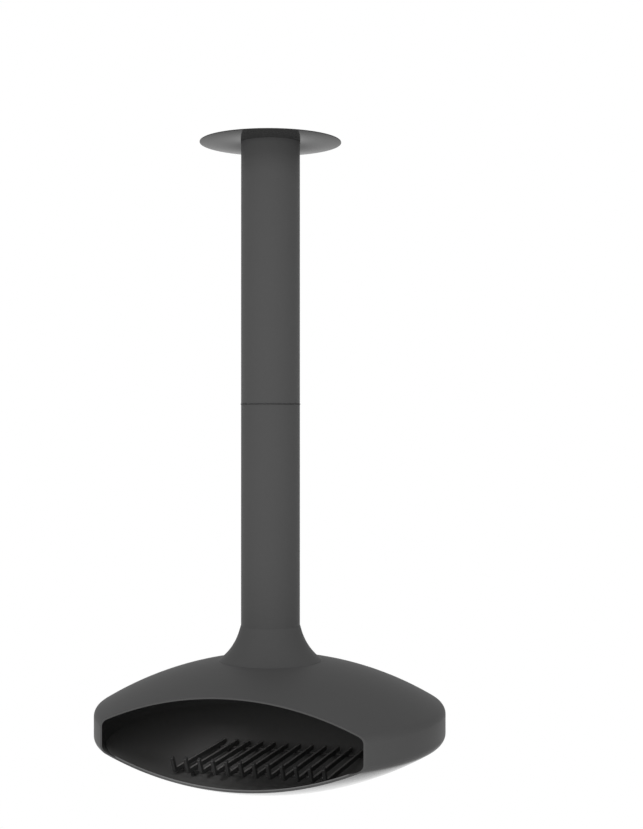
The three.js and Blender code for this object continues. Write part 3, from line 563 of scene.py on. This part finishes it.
# %% Tubes and rosette
SHEET_EDGE, ROSETTE_EDGE = 0.5 * MM, 0.9 * MM
bore, rosette_bore = TUBE_RADIUS - TUBE_WALL, TUBE_RADIUS + ROSETTE_CLEARANCE
profile = tube_profile(bore, TUBE_RADIUS, upper_low.z, upper_high.z, SHEET_EDGE)
hoop("flue_tube_upper", profile, "ceiling_mount", "body_paint", "upper_tube")
profile = tube_profile(rosette_bore, ROSETTE_RADIUS, rosette_low.z, rosette_high.z, ROSETTE_EDGE)
hoop("rosette_disc", profile, "ceiling_mount", "rosette_paint", "ceiling_rosette", columns=216)

# %% [markdown]
# At the seam a narrow bead covers the joint between the tube that stands still and the tube that
# turns. It is a flat ring with a half-round face that stands a little proud. Its coat of the body's
# paint is darker, so it shows as a dark line: painted shade for the shadow in the joint.

# %% Seam ring
BEAD_DEPTH, BEAD_FACE, BEAD_BACK = 8 * MM, 1.7 * MM, 0.3 * MM
back, face = ring_high.x - BEAD_DEPTH, ring_high.x
bead_corners = [(back, ring_low.z), (face, ring_low.z), (face, ring_high.z), (back, ring_high.z)]
bead = softened(bead_corners, [BEAD_BACK, BEAD_FACE, BEAD_FACE, BEAD_BACK], steps=6)
hoop("seam_bead", bead, "ceiling_mount", "body_paint", "seam_ring", finish="seam_painted_shade")

# %% [markdown]
# The lower tube has two round holes for the damper's bushes. A hole in a turned sheet breaks the
# grid, so the tube is turned whole: the bush has a head that covers its hole from outside, and a
# barrel that fills it.

# %% Lower tube
profile = tube_profile(bore, TUBE_RADIUS, tube_low.z, tube_high.z, SHEET_EDGE)
hoop("flue_tube_lower", profile, "fire_body", "body_paint", "lower_tube")

# %% [markdown]
# ## The fire body
#
# The fire body is two spun domes joined by a short plain band, with a rounded shoulder above and
# below, and its front is cut off flat. The cut edge shows the 5 mm plate, so it has to be crisp.
#
# A Boolean cut would leave ragged triangles along it. Instead the cut is one of the grid's lines: on
# a dome, the lines run out from the tube and stop at the cut or at the shoulder, whichever comes
# first. Round the band, they run from one side of the opening to the other. The outer and the inner
# face have the same numbers of points, so the strip between them, the cut edge, is one more sheet.

# %% Domes, shoulders and band
FRONT_COLUMNS, ROUND_COLUMNS, DOME_ROWS = 72, 150, 30
CUT_DISTANCE = -OPENING_Y


def dome_height(radius, sphere, centre, up):
    """Height of the sphere over its middle: centre +/- the other leg of a right triangle."""
    return centre + up * np.sqrt(sphere**2 - radius**2)


def dome(sphere, centre, up, inner_radius, rim_radius):
    """Lines from inner_radius out to the rim or to the cut, the front ones first.

    Along a line the radius grows evenly; at angle f from the front the cut is at distance/cos f."""
    half_front = math.acos(CUT_DISTANCE / rim_radius)
    front = np.linspace(-half_front, half_front, FRONT_COLUMNS + 1)
    side = np.linspace(half_front, FULL_TURN - half_front, ROUND_COLUMNS + 1)[1:-1]
    angle = np.concatenate([front, side])
    end = np.full(len(angle), rim_radius)
    end[: len(front)] = CUT_DISTANCE / np.cos(front)
    radius = inner_radius + np.linspace(0, 1, DOME_ROWS)[:, None] * (end - inner_radius)[None, :]
    height = dome_height(radius, sphere, centre, up)
    return np.stack([radius * np.sin(angle), -radius * np.cos(angle), height], -1)


def round_the_back(radius, height, cut_distance):
    """Each point of a profile goes round the axis, behind a flat cut in front of it.

    It starts and ends at the angles a at which it meets the cut, where cos a = distance / radius."""
    radius, height = radius[:, None], height[:, None]
    start = np.arccos(cut_distance / radius)
    angle = start + np.linspace(0, 1, ROUND_COLUMNS + 1) * (FULL_TURN - 2 * start)
    return np.stack([radius * np.sin(angle), -radius * np.cos(angle), height + 0 * angle], -1)


def side_wall(offset):
    """Shoulder, band and lower shoulder, from one side of the opening round to the other."""
    fillet = SHOULDER - offset
    top_turn = math.asin(SHOULDER_CIRCLE / (HOOD_SPHERE - SHOULDER))
    low_turn = math.asin(SHOULDER_CIRCLE / (BOWL_SPHERE - SHOULDER))
    down = np.linspace(top_turn, np.pi / 2, 10)
    back = np.linspace(np.pi / 2, low_turn, 10)
    radius = SHOULDER_CIRCLE + fillet * np.concatenate([np.sin(down), np.sin(back)])
    height = np.concatenate([BAND_TOP + fillet * np.cos(down), BAND_BOTTOM - fillet * np.cos(back)])
    return round_the_back(radius, height, CUT_DISTANCE)


def shell_faces(offset):
    """Hood dome, side wall and bowl dome of one face of the plate, `offset` inside the outer face."""
    fillet = SHOULDER - offset
    hood_rim = SHOULDER_CIRCLE + fillet * SHOULDER_CIRCLE / (HOOD_SPHERE - SHOULDER)
    bowl_rim = SHOULDER_CIRCLE + fillet * SHOULDER_CIRCLE / (BOWL_SPHERE - SHOULDER)
    hood = dome(HOOD_SPHERE - offset, HOOD_CENTRE, 1, NECK_HOLE, hood_rim)
    bowl = dome(BOWL_SPHERE - offset, BOWL_CENTRE, -1, 0.0, bowl_rim)
    return hood, side_wall(offset), bowl


outer, inner = shell_faces(0.0), shell_faces(BODY_WALL)
print("hood grid", outer[0].shape, "wall grid", outer[1].shape, "bowl grid", outer[2].shape)

# %% The shell, sewn from its sheets
BODY_MIDDLE = (0, 0, (BAND_TOP + BAND_BOTTOM) / 2)
OUTSIDE, INSIDE = 0, 1


def inwards(middles):
    """Outwards means towards the middle of the body, for the plate's inner face."""
    return np.array(BODY_MIDDLE) - middles


def edge_strip(outer_line, inner_line):
    """The cut face of the plate between a line of its outer face and one of its inner face."""
    return np.stack([outer_line, inner_line], 1)


front = slice(0, FRONT_COLUMNS + 1)
cut_lines = [
    (hood[-1, front], bowl[-1, front], wall[:, 0], wall[:, -1]) for hood, wall, bowl in (outer, inner)
]
neck_line = [np.concatenate([grids[0][0], grids[0][0, :1]]) for grids in (outer, inner)]
shell_sheets = []
for paint, faces, outwards in ((OUTSIDE, outer, away_from(BODY_MIDDLE)), (INSIDE, inner, inwards)):
    for grid, closings in zip(faces, (SIDEWAYS, (False, False), SIDEWAYS)):
        shell_sheets.append((grid, paint, closings, outwards))
shell_sheets += [
    (edge_strip(out_line, in_line), OUTSIDE, (False, False), towards((0, -1, 0)))
    for out_line, in_line in zip(*cut_lines)
]
shell_sheets.append(
    (edge_strip(*neck_line), OUTSIDE, (False, False), lambda middles: middles * np.array([-1, -1, 0]))
)
shell = sew("fire_body_shell", shell_sheets, [finishes["body_paint"], finishes["firebox_paint"]])
round_edges(shell, 0.7 * MM)
dress(shell, "fire_body", "body_paint", "hood_shell", "bowl_shell")

# %% [markdown]
# The two halves are welded over a flat hoop that lies behind their joint. It stops a little behind
# the opening, where it can't be seen from the front. It goes round the back like the side wall does,
# with its four corners softened, and each of its two ends is closed by a fan round its middle.

# %% Joint hoop
joint_low, joint_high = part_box("joint_ring")
JOINT_RING_WALL, JOINT_EDGE = 4 * MM, 0.4 * MM
joint_bore, joint_heights = joint_high.x - JOINT_RING_WALL, (joint_low.z, joint_high.z)
hoop_section = tube_profile(joint_bore, joint_high.x, *joint_heights, JOINT_EDGE)
hoop_grid = round_the_back(hoop_section[:, 0], hoop_section[:, 1], -joint_low.y)
# The long sheet lacks only two small ends, so it too looks away from its middle on the whole.
hoop_sheets = [(hoop_grid, 0, (True, False), away_from(hoop_grid.reshape(-1, 3).mean(0)))]
for end in (hoop_grid[:, 0], hoop_grid[:, -1]):
    fan = np.stack([end, np.broadcast_to(end.mean(0), end.shape)], 0)
    hoop_sheets.append((fan, 0, SIDEWAYS, towards((0, -1, 0))))
joint_hoop = sew("joint_hoop", hoop_sheets, [finishes["firebox_paint"]])
dress(joint_hoop, "fire_body", "firebox_paint", "joint_ring")

# %% [markdown]
# ## Hearth liner
#
# A dish of 4 mm plate lies in the bowl and takes the heat. It follows the bowl's curve and is cut
# off at the same plane. The same dome formula gives its lower and its upper face, and a strip
# between their last lines is the rim.

# %% Liner
LINER_GAP = 0.3 * MM
LINER_THICKNESS = 4 * MM
LINER_SPHERE = BOWL_SPHERE - BODY_WALL - LINER_GAP
DISH_SPHERE = LINER_SPHERE - LINER_THICKNESS
under = dome(LINER_SPHERE, BOWL_CENTRE, -1, 0.0, liner_high.x)
over = dome(DISH_SPHERE, BOWL_CENTRE, -1, 0.0, liner_high.x)
rim = np.stack([under[-1], over[-1]], 0)
liner = sew(
    "hearth_dish",
    [
        (under, 0, SIDEWAYS, towards((0, 0, -1))),
        (over, 0, SIDEWAYS, towards((0, 0, 1))),
        (rim, 0, SIDEWAYS, away_from((0, 0, liner_low.z))),
    ],
    [finishes["firebox_paint"]],
)
round_edges(liner, 0.6 * MM)
dress(liner, "fire_body", "firebox_paint", "hearth_liner")

# %% [markdown]
# ## Collar
#
# The flared collar hides the flange that carries the hood. Seen from the side its face is an arc
# that leaves the tube almost straight and runs out on the hood. Its second face is the same arc, one
# wall thickness further from the arc's middle. The top edge is ground thin and runs into the tube.

# %% Collar
COLLAR_WALL = 1.5 * MM
COLLAR_HEIGHT = 120 * MM
COLLAR_FOOT = TUBE_RADIUS + 77 * MM
COLLAR_ARC = 192 * MM
COLLAR_GAP = 0.3 * MM
GROUND_EDGE, GROUND_ROWS = 0.4 * MM, 5
SEARCH_BEYOND, SEARCH_STEPS = 0.05, 600
foot_height = dome_height(COLLAR_FOOT, HOOD_SPHERE, HOOD_CENTRE, 1)
arc_top = np.array([TUBE_RADIUS + COLLAR_GAP + COLLAR_WALL, foot_height + COLLAR_HEIGHT])
arc_foot = np.array([COLLAR_FOOT, foot_height])
chord = arc_foot - arc_top
chord_length = np.hypot(*chord)
to_middle = math.sqrt(COLLAR_ARC**2 - chord_length**2 / 4)
arc_middle = (arc_top + arc_foot) / 2 + np.array([-chord[1], chord[0]]) / chord_length * to_middle


def collar_face(radius, points=36):
    """An arc about arc_middle, from the top until it stands COLLAR_GAP over the hood's sphere."""
    first = math.atan2(*(arc_top - arc_middle)[::-1]) % FULL_TURN
    last = math.atan2(*(arc_foot - arc_middle)[::-1]) % FULL_TURN
    angle = np.linspace(first, last + SEARCH_BEYOND, SEARCH_STEPS)
    arc = arc_middle + radius * np.stack([np.cos(angle), np.sin(angle)], 1)
    over_hood = arc[:, 1] - dome_height(arc[:, 0], HOOD_SPHERE, HOOD_CENTRE, 1) - COLLAR_GAP
    stop = np.interp(0, over_hood[::-1], angle[::-1])
    angle = np.linspace(first, stop, points)
    return arc_middle + radius * np.stack([np.cos(angle), np.sin(angle)], 1)


shown, hidden = collar_face(COLLAR_ARC), collar_face(COLLAR_ARC + COLLAR_WALL)
ground_share = np.clip(1 - np.arange(len(shown)) / GROUND_ROWS, 0, 1) ** 2
shown[:, 0] -= ground_share * (COLLAR_WALL - GROUND_EDGE)
grid = turned(np.concatenate([shown, hidden[::-1]]), 180)
wrapped("flared_collar", grid, "fire_body", "body_paint", "collar", closings=BOTH_WAYS)

# %% [markdown]
# ## Forged bars of the grate
#
# Each bar is flat steel on edge, whose front end is bent up to hold the logs back. It is a rounded
# rectangle carried along its centre line: straight, round the bend, and up the leaning tip. No face
# is quite flat after the hammer, so slow waves move it by a fraction of a millimetre, differently on
# every bar. At the ends the rectangle shrinks to a point over a small chamfer.

# %% A bar along a line
LONG_WAVE, SHORT_WAVE = 230, 410  # radians along a metre of bar


def rounded_rectangle(width, height, corner, per_corner=4):
    """Points round a rectangle, its corners softened, as (across, up) pairs."""
    w, h = width / 2, height / 2
    return softened([(-w, -h), (w, -h), (w, h), (-w, h)], corner, per_corner)


def bar(path, side, section, wave_phase=0.0, wave_depth=0.0, end_chamfer=1.2 * MM):
    """Carries the section along the path: point + across * side + up * (tangent x side).

    The first and last rows are the chamfer and the middle of the end face."""
    path = np.asarray(path, float)
    tangent = np.gradient(path, axis=0)
    tangent /= np.linalg.norm(tangent, axis=1, keepdims=True)
    ends = [path[:1] - tangent[:1] * end_chamfer * k for k in (0, -1)]
    tails = [path[-1:] + tangent[-1:] * end_chamfer * k for k in (-1, 0)]
    rows = np.concatenate([ends[0], ends[0], ends[1], path[1:-1], tails[0], tails[1], tails[1]])
    tangents = np.concatenate([tangent[[0, 0, 0]], tangent[1:-1], tangent[[-1, -1, -1]]])
    chamfered = 1 - end_chamfer / np.abs(section).max()
    size = np.concatenate([[0, chamfered, 1], np.ones(len(path) - 2), [1, chamfered, 0]])
    size = size[:, None, None]
    side = np.array(side, float)
    up = np.cross(tangents, side)
    along = np.concatenate([[0], np.cumsum(np.linalg.norm(np.diff(rows, axis=0), axis=1))])[:, None]
    turn = round_angles(len(section))[None, :]
    wave = np.sin(along * LONG_WAVE + 2 * turn + wave_phase)
    wave += np.sin(along * SHORT_WAVE - turn * 3 + wave_phase * 2.3)
    swell = 1 + wave_depth * wave / np.abs(section).max() * (size[:, :, 0] == 1)
    across = section[None, :, :1] * swell[..., None] * size
    rise = section[None, :, 1:] * swell[..., None] * size
    return rows[:, None] + across * side + rise * up[:, None]


print("bars can be carried along a line")

# %% Bars
BAR_WIDTH, BAR_HEIGHT = 10 * MM, 16 * MM
BAR_FRONT, BAR_TIP_LEAN, BAR_TIP_RISE = -216 * MM, 28 * MM, 54 * MM
BEND_RADIUS, BAR_CORNER, RAIL_CORNER = 12 * MM, 1.6 * MM, 1.2 * MM
BAR_WAVES, RAIL_WAVES, PHASE_STEP = 0.12 * MM, 0.05 * MM, 1.7
section = rounded_rectangle(BAR_WIDTH, BAR_HEIGHT, BAR_CORNER)


def bar_line(low, high):
    """Centre line in the Y-Z plane: back end, bend, tip.

    The bend's middle stands where both straight parts are BEND_RADIUS away from it."""
    lean = math.atan2(BAR_TIP_LEAN, BAR_TIP_RISE)
    tip = np.array([-math.sin(lean), math.cos(lean)])
    straight_height = low.z + BAR_HEIGHT / 2
    bend_height = straight_height + BEND_RADIUS
    face_y = BAR_FRONT - BAR_TIP_LEAN * (bend_height - low.z) / BAR_TIP_RISE
    bend_y = face_y + (BAR_HEIGHT / 2 + BEND_RADIUS) / math.cos(lean)
    middle = np.array([bend_y, bend_height])
    straight_y = np.linspace(high.y, bend_y, 30)
    straight = np.stack([straight_y, np.full(30, straight_height)], 1)
    angle = np.linspace(-math.pi / 2, -(math.pi - lean), 10)[1:]
    bend = middle + BEND_RADIUS * np.stack([np.cos(angle), np.sin(angle)], 1)
    reach = (high.z - BAR_HEIGHT / 2 * math.sin(lean) - bend[-1, 1]) / tip[1]
    rise = bend[-1] + np.linspace(0, reach, 6)[1:, None] * tip
    print(f"tip leans {math.degrees(lean):.1f} degrees, bend starts at y {bend_y:.3f}")
    return np.concatenate([straight, bend, rise])


bar_nodes = [name for name in frame["nodes"] if name.startswith("grate_bar_")]
bar_names = sorted(bar_nodes, key=lambda name: int(name.split("_")[-1]))
line = bar_line(*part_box(bar_names[0]))
for number, node in enumerate(bar_names):
    low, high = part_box(node)
    path = np.column_stack([np.full(len(line), (low.x + high.x) / 2), line])
    grid = bar(path, (1, 0, 0), section, wave_phase=PHASE_STEP * number, wave_depth=BAR_WAVES)
    wrapped(node.replace("grate", "forged"), grid, "grate", "grate_steel", node)

# %% [markdown]
# The bars lie on two flat rails, each on two round feet that stand on the liner. A foot's sole is
# cut to the slope of the dish, so it stands flat: its lower edge takes its height from the dish's
# own formula.

# %% Rails and feet
for place in ("front", "back"):
    node = f"grate_rail_{place}"
    low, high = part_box(node)
    y, z = (low.y + high.y) / 2, (low.z + high.z) / 2
    x = np.linspace(low.x, high.x, 60)
    path = np.column_stack([x, np.full(60, y), np.full(60, z)])
    rail_section = rounded_rectangle(high.y - low.y, high.z - low.z, RAIL_CORNER)
    grid = bar(path, (0, 1, 0), rail_section, wave_phase=4.0 + y, wave_depth=RAIL_WAVES)
    wrapped(f"forged_rail_{place}", grid, "grate", "grate_steel", node)


def foot_grid(x, y, radius, top, columns=40):
    """Rows from the middle of the sole, up the side, to the middle of the top.

    The sole's height is the dish's height under each of its points."""
    chamfer = 0.8 * MM
    radii = np.array([0, radius - chamfer, radius, radius, radius - chamfer, 0])[:, None]
    angle = round_angles(columns)
    px, py = x + radii * np.cos(angle), y + radii * np.sin(angle)
    dish = dome_height(np.hypot(px, py), DISH_SPHERE, BOWL_CENTRE, -1)
    lift = np.array([0, 0, chamfer])[:, None]
    heights = np.concatenate([dish[:3] + LINER_GAP + lift, np.full((3, columns), top)])
    heights[3] -= chamfer
    return np.stack([px, py, heights], -1)


for node in sorted(n for n in frame["nodes"] if n.startswith("grate_foot_")):
    low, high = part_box(node)
    x, y, radius = (low.x + high.x) / 2, (low.y + high.y) / 2, (high.x - low.x) / 2
    grid = foot_grid(x, y, radius, high.z)
    wrapped(node.replace("grate", "round"), grid, "grate", "grate_steel", node)

# %% [markdown]
# Every bar is welded to every rail with a short bead on both of its sides. A bead is a squashed
# ball that lies in the corner between bar and rail; all the beads are one piece.

# %% Weld beads
def ball(centre, radii, rows=7, columns=10):
    """Points centre + (a sin p cos q, b sin p sin q, c cos p) for p from pole to pole and q round."""
    p = np.linspace(0, np.pi, rows)[:, None]
    q = round_angles(columns)[None, :]
    unit = np.stack([np.sin(p) * np.cos(q), np.sin(p) * np.sin(q), np.cos(p) + 0 * q], -1)
    return np.array(centre) + unit * np.array(radii)


BEAD_RADII, BEAD_OFFSET = (2.0 * MM, 5.0 * MM, 1.8 * MM), 0.4 * MM
beads = []
for place in ("front", "back"):
    rail_low, rail_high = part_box(f"grate_rail_{place}")
    for node in bar_names:
        low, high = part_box(node)
        for x in (low.x - BEAD_OFFSET, high.x + BEAD_OFFSET):
            centre = (x, (rail_low.y + rail_high.y) / 2, rail_high.z + BEAD_OFFSET)
            beads.append((ball(centre, BEAD_RADII), 0, SIDEWAYS, away_from(centre)))
welds = sew("grate_weld_beads", beads, [finishes["grate_steel"]])
dress(welds, "grate", "grate_steel")

# %% [markdown]
# ## Damper
#
# Inside the flue a round plate turns on a spindle and chokes the draught. Its lever hangs under the
# hood with a ball for the hand. These pieces are turned like the tube's rings, only about the spindle
# or across it: swapping the coordinates lays a turned piece on its side.

# %% Damper disc and bushes
def lay_along_x(grid, y, z):
    """A piece turned about Z becomes one turned about the line along X through (y, z)."""
    return np.stack([grid[..., 2], grid[..., 0] + y, grid[..., 1] + z], -1)


def lay_along_y(grid, x, z):
    """A piece turned about Z becomes one turned about the line along Y through (x, z)."""
    return np.stack([grid[..., 1] + x, grid[..., 2], grid[..., 0] + z], -1)


spindle_low, spindle_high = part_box("damper_spindle")
SPINDLE_HEIGHT = (spindle_low.z + spindle_high.z) / 2
SPINDLE_RADIUS = (spindle_high.z - spindle_low.z) / 2
disc_low, disc_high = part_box("damper_disc")
disc_half, disc_radius = (disc_high.y - disc_low.y) / 2, disc_high.x
EDGE = 0.5 * MM
half_profile = [(disc_radius, 0.5 * disc_half), (disc_radius - EDGE, disc_half), (0, disc_half)]
disc_profile = [(radius, -height) for radius, height in half_profile[::-1]] + half_profile
disc_grid = lay_along_y(turned(np.array(disc_profile), 120), 0, SPINDLE_HEIGHT)
wrapped("damper_plate", disc_grid, "damper", "firebox_paint", "damper_disc")

RUNNING_ROOM, BUSH_BARREL, BUSH_HEAD, BUSH_EDGE = 0.35 * MM, 10 * MM, 3 * MM, 0.4 * MM
BUSH_BORE = SPINDLE_RADIUS + RUNNING_ROOM
for place, side in (("left", -1), ("right", 1)):
    node = f"damper_bush_{place}"
    low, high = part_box(node)
    end, face = (low.x, high.x) if side == 1 else (high.x, low.x)
    seat = face - side * BUSH_HEAD
    head = high.z - SPINDLE_HEIGHT
    corners = [(BUSH_BORE, end), (BUSH_BARREL, end), (BUSH_BARREL, seat)]
    corners += [(head, seat), (head, face), (BUSH_BORE, face)]
    grid = lay_along_x(turned(softened(corners, BUSH_EDGE), 64), 0, SPINDLE_HEIGHT)
    wrapped(f"turned_bush_{place}", grid, "fire_body", "stainless", node, closings=BOTH_WAYS)

# %% [markdown]
# The spindle is a round rod whose middle is filed flat on one side, where the disc is screwed on:
# the points of its circle that lie beyond the flat are pulled back to it. The lever is a flat strip
# whose outline is two arcs, a hub above and a round end below, joined by straight lines.

# %% Spindle and lever
FLAT_HALF_LENGTH, FLAT_PLACE = 95.3 * MM, -1.3 * MM
flat_half_width = math.sqrt(SPINDLE_RADIUS**2 - FLAT_PLACE**2)
start, stop = spindle_low.x, spindle_high.x
along = [start, start, start + EDGE, -FLAT_HALF_LENGTH, -FLAT_HALF_LENGTH]
along += [FLAT_HALF_LENGTH, FLAT_HALF_LENGTH, stop - EDGE, stop, stop]
thin = SPINDLE_RADIUS - EDGE
radii = np.array([0, thin] + [SPINDLE_RADIUS] * 6 + [thin, 0])[:, None]
turn = round_angles(64)
y, z = radii * np.cos(turn), radii * np.sin(turn)
filed = np.isin(np.arange(len(along)), (4, 5))[:, None] & (y > FLAT_PLACE)
y = np.where(filed, FLAT_PLACE, y)
z = np.where(filed, np.clip(z, -flat_half_width, flat_half_width), z)
rod = np.stack([np.broadcast_to(np.array(along)[:, None], y.shape), y, z + SPINDLE_HEIGHT], -1)
wrapped("filed_spindle", rod, "damper", "stainless", "damper_spindle")

lever_low, lever_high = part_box("damper_lever")
knob_low, knob_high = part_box("damper_knob")
knob_height = (knob_high.z + knob_low.z) / 2
HUB_RADIUS, END_RADIUS = lever_high.z - SPINDLE_HEIGHT, knob_height - lever_low.z


def lever_outline(inset):
    """Both arcs, as [r sin a, centre - r cos a] for the angle a from straight down."""
    meet = math.asin(END_RADIUS / HUB_RADIUS)
    hub, tip = np.linspace(meet, FULL_TURN - meet, 48), np.linspace(-np.pi / 2, np.pi / 2, 24)
    hub_r, tip_r = HUB_RADIUS - inset, END_RADIUS - inset
    y = np.concatenate([hub_r * np.sin(hub), tip_r * np.sin(tip)])
    z = np.concatenate([SPINDLE_HEIGHT - hub_r * np.cos(hub), knob_height - tip_r * np.cos(tip)])
    return np.stack([y, z], -1)


outline, eased = lever_outline(0), lever_outline(EDGE)
hub_middle = np.broadcast_to([0, SPINDLE_HEIGHT], outline.shape)
faces = [(lever_low.x, hub_middle), (lever_low.x, eased), (lever_low.x + EDGE, outline)]
faces += [(lever_high.x - EDGE, outline), (lever_high.x, eased), (lever_high.x, hub_middle)]
strip = np.stack([np.column_stack([np.full(len(edge), x), edge]) for x, edge in faces])
wrapped("damper_handle", strip, "damper", "firebox_paint", "damper_lever")

# %% Ball knob
knob_radius = (knob_high.z - knob_low.z) / 2
ball_middle = knob_high.x - knob_radius
STEM, SEAT, KNOB_EDGE, KNOB_GAP = 3 * MM, 5 * MM, 0.4 * MM, 0.3 * MM
sweep = np.linspace(math.pi - math.asin(SEAT / knob_radius), 0, 20)
ball_profile = np.stack([knob_radius * np.sin(sweep), ball_middle + knob_radius * np.cos(sweep)], 1)
seat = lever_high.x + KNOB_GAP
stem_profile = [(0, knob_low.x), (STEM - KNOB_EDGE, knob_low.x), (STEM, knob_low.x + KNOB_EDGE)]
stem_profile += [(STEM, seat), (SEAT, seat)]
knob_grid = lay_along_x(turned(np.concatenate([stem_profile, ball_profile]), 48), 0, knob_height)
wrapped("damper_ball_knob", knob_grid, "damper", "grate_steel", "damper_knob")

# %% [markdown]
# ## Light and ground
#
# The photograph is a pale, evenly lit studio picture on pure white. The world gives the even light.
# Camera, glossy and transmission rays see it as white, so that the paint mirrors a white room, and
# all other rays see it at a plainer level, at which a colour comes out about as it is written.
# A large soft lamp before the opening and a second one above give the tube its slow shading, and a
# narrow spot with a soft edge makes the pool of light in which the photograph shows the hearth.
#
# The floor is pale and half a metre under the bowl. Near the object it is a real surface that takes
# the shadow. Further out it fades into the white of the room, so no horizon shows.

# %% World
AMBIENT = 0.42
world = bpy.data.worlds.new("studio")
bpy.context.scene.world = world
world.use_nodes = True
sky = world.node_tree


def ray(name):
    """1 for a ray of this kind and 0 for any other."""
    return add_node(sky, "ShaderNodeLightPath", {}, {}, output=name)


seen = (ray("Is Camera Ray") + ray("Is Glossy Ray") + ray("Is Transmission Ray")).between(0, 1)
background = sky.nodes["Background"]
background.inputs["Color"].default_value = (1, 1, 1, 1)
sky.links.new((seen * (1 - AMBIENT) + AMBIENT).output, background.inputs["Strength"])
print(f"world: white where it is seen, {AMBIENT} where it lights")

# %% Lamps
def hang_lamp(name, kind, place, aim, power):
    """A lamp of a kind at a place, turned so that it shines on the aim."""
    lamp = bpy.data.lights.new(name, kind)
    lamp.energy = power
    lamp_object = bpy.data.objects.new(name, lamp)
    bpy.context.scene.collection.objects.link(lamp_object)
    lamp_object.location = place
    lamp_object.rotation_euler = (Vector(aim) - Vector(place)).to_track_quat("-Z", "Y").to_euler()
    lamp_object.visible_glossy = False
    print(f"{name}: {power} W at {place}")
    return lamp


def soft_lamp(name, place, aim, size, power):
    """A square lamp whose size makes its light soft."""
    lamp = hang_lamp(name, "AREA", place, aim, power)
    lamp.shape = "SQUARE"
    lamp.size = size


soft_lamp("key_lamp", (0.5, -4.5, -0.5), aim=(0, 0, -1.2), size=1.8, power=75)
soft_lamp("high_lamp", (1.5, -4.2, 2.2), aim=(0, 0, -1.5), size=1.8, power=50)
POOL_OF_LIGHT = (-0.22, -0.04, -2.19)
hearth_lamp = hang_lamp("hearth_lamp", "SPOT", (0.35, -2.6, -1.25), POOL_OF_LIGHT, power=200)
hearth_lamp.spot_size = math.radians(6.5)
hearth_lamp.spot_blend = 1.0
hearth_lamp.shadow_soft_size = 0.1

# %% Floor
FLOOR_HEIGHT = bowl_low.z - 520 * MM
FADE_START, FADE_END = 0.1, 0.6
LENGTH = {"operation": "LENGTH"}
angle = round_angles(96)
reach = np.array([0.0, 0.5, 1.2, 3.0, 8.0])[:, None]
level = np.full((len(reach), len(angle)), FLOOR_HEIGHT)
floor_grid = np.stack([reach * np.cos(angle), reach * np.sin(angle), level], -1)
ground = Finish("studio_floor", Roughness=0.9, Specular_IOR_Level=0.0)
ground.shader.inputs["Base Color"].default_value = (0.86, 0.86, 0.86, 1)
on_the_floor = ground.stretched((1, 1, 0))
distance = ground.node("ShaderNodeVectorMath", LENGTH, output="Value", Vector=on_the_floor)
plain, glow = Signal(ground.tree, ground.shader.outputs[0]), ground.node("ShaderNodeEmission")
shaders = {0: distance.between(FADE_START, FADE_END), 1: plain, 2: glow}
fade = add_node(ground.tree, "ShaderNodeMixShader", {}, shaders)
ground.tree.links.new(fade.output, ground.tree.nodes["Material Output"].inputs["Surface"])
floor = sew("floor", [(floor_grid, 0, SIDEWAYS, towards((0, 0, 1)))], [ground.material])

# %% [markdown]
#
# The last cell sets the Standard view transform.

# %% Colour
bpy.context.scene.view_settings.view_transform = "Standard"
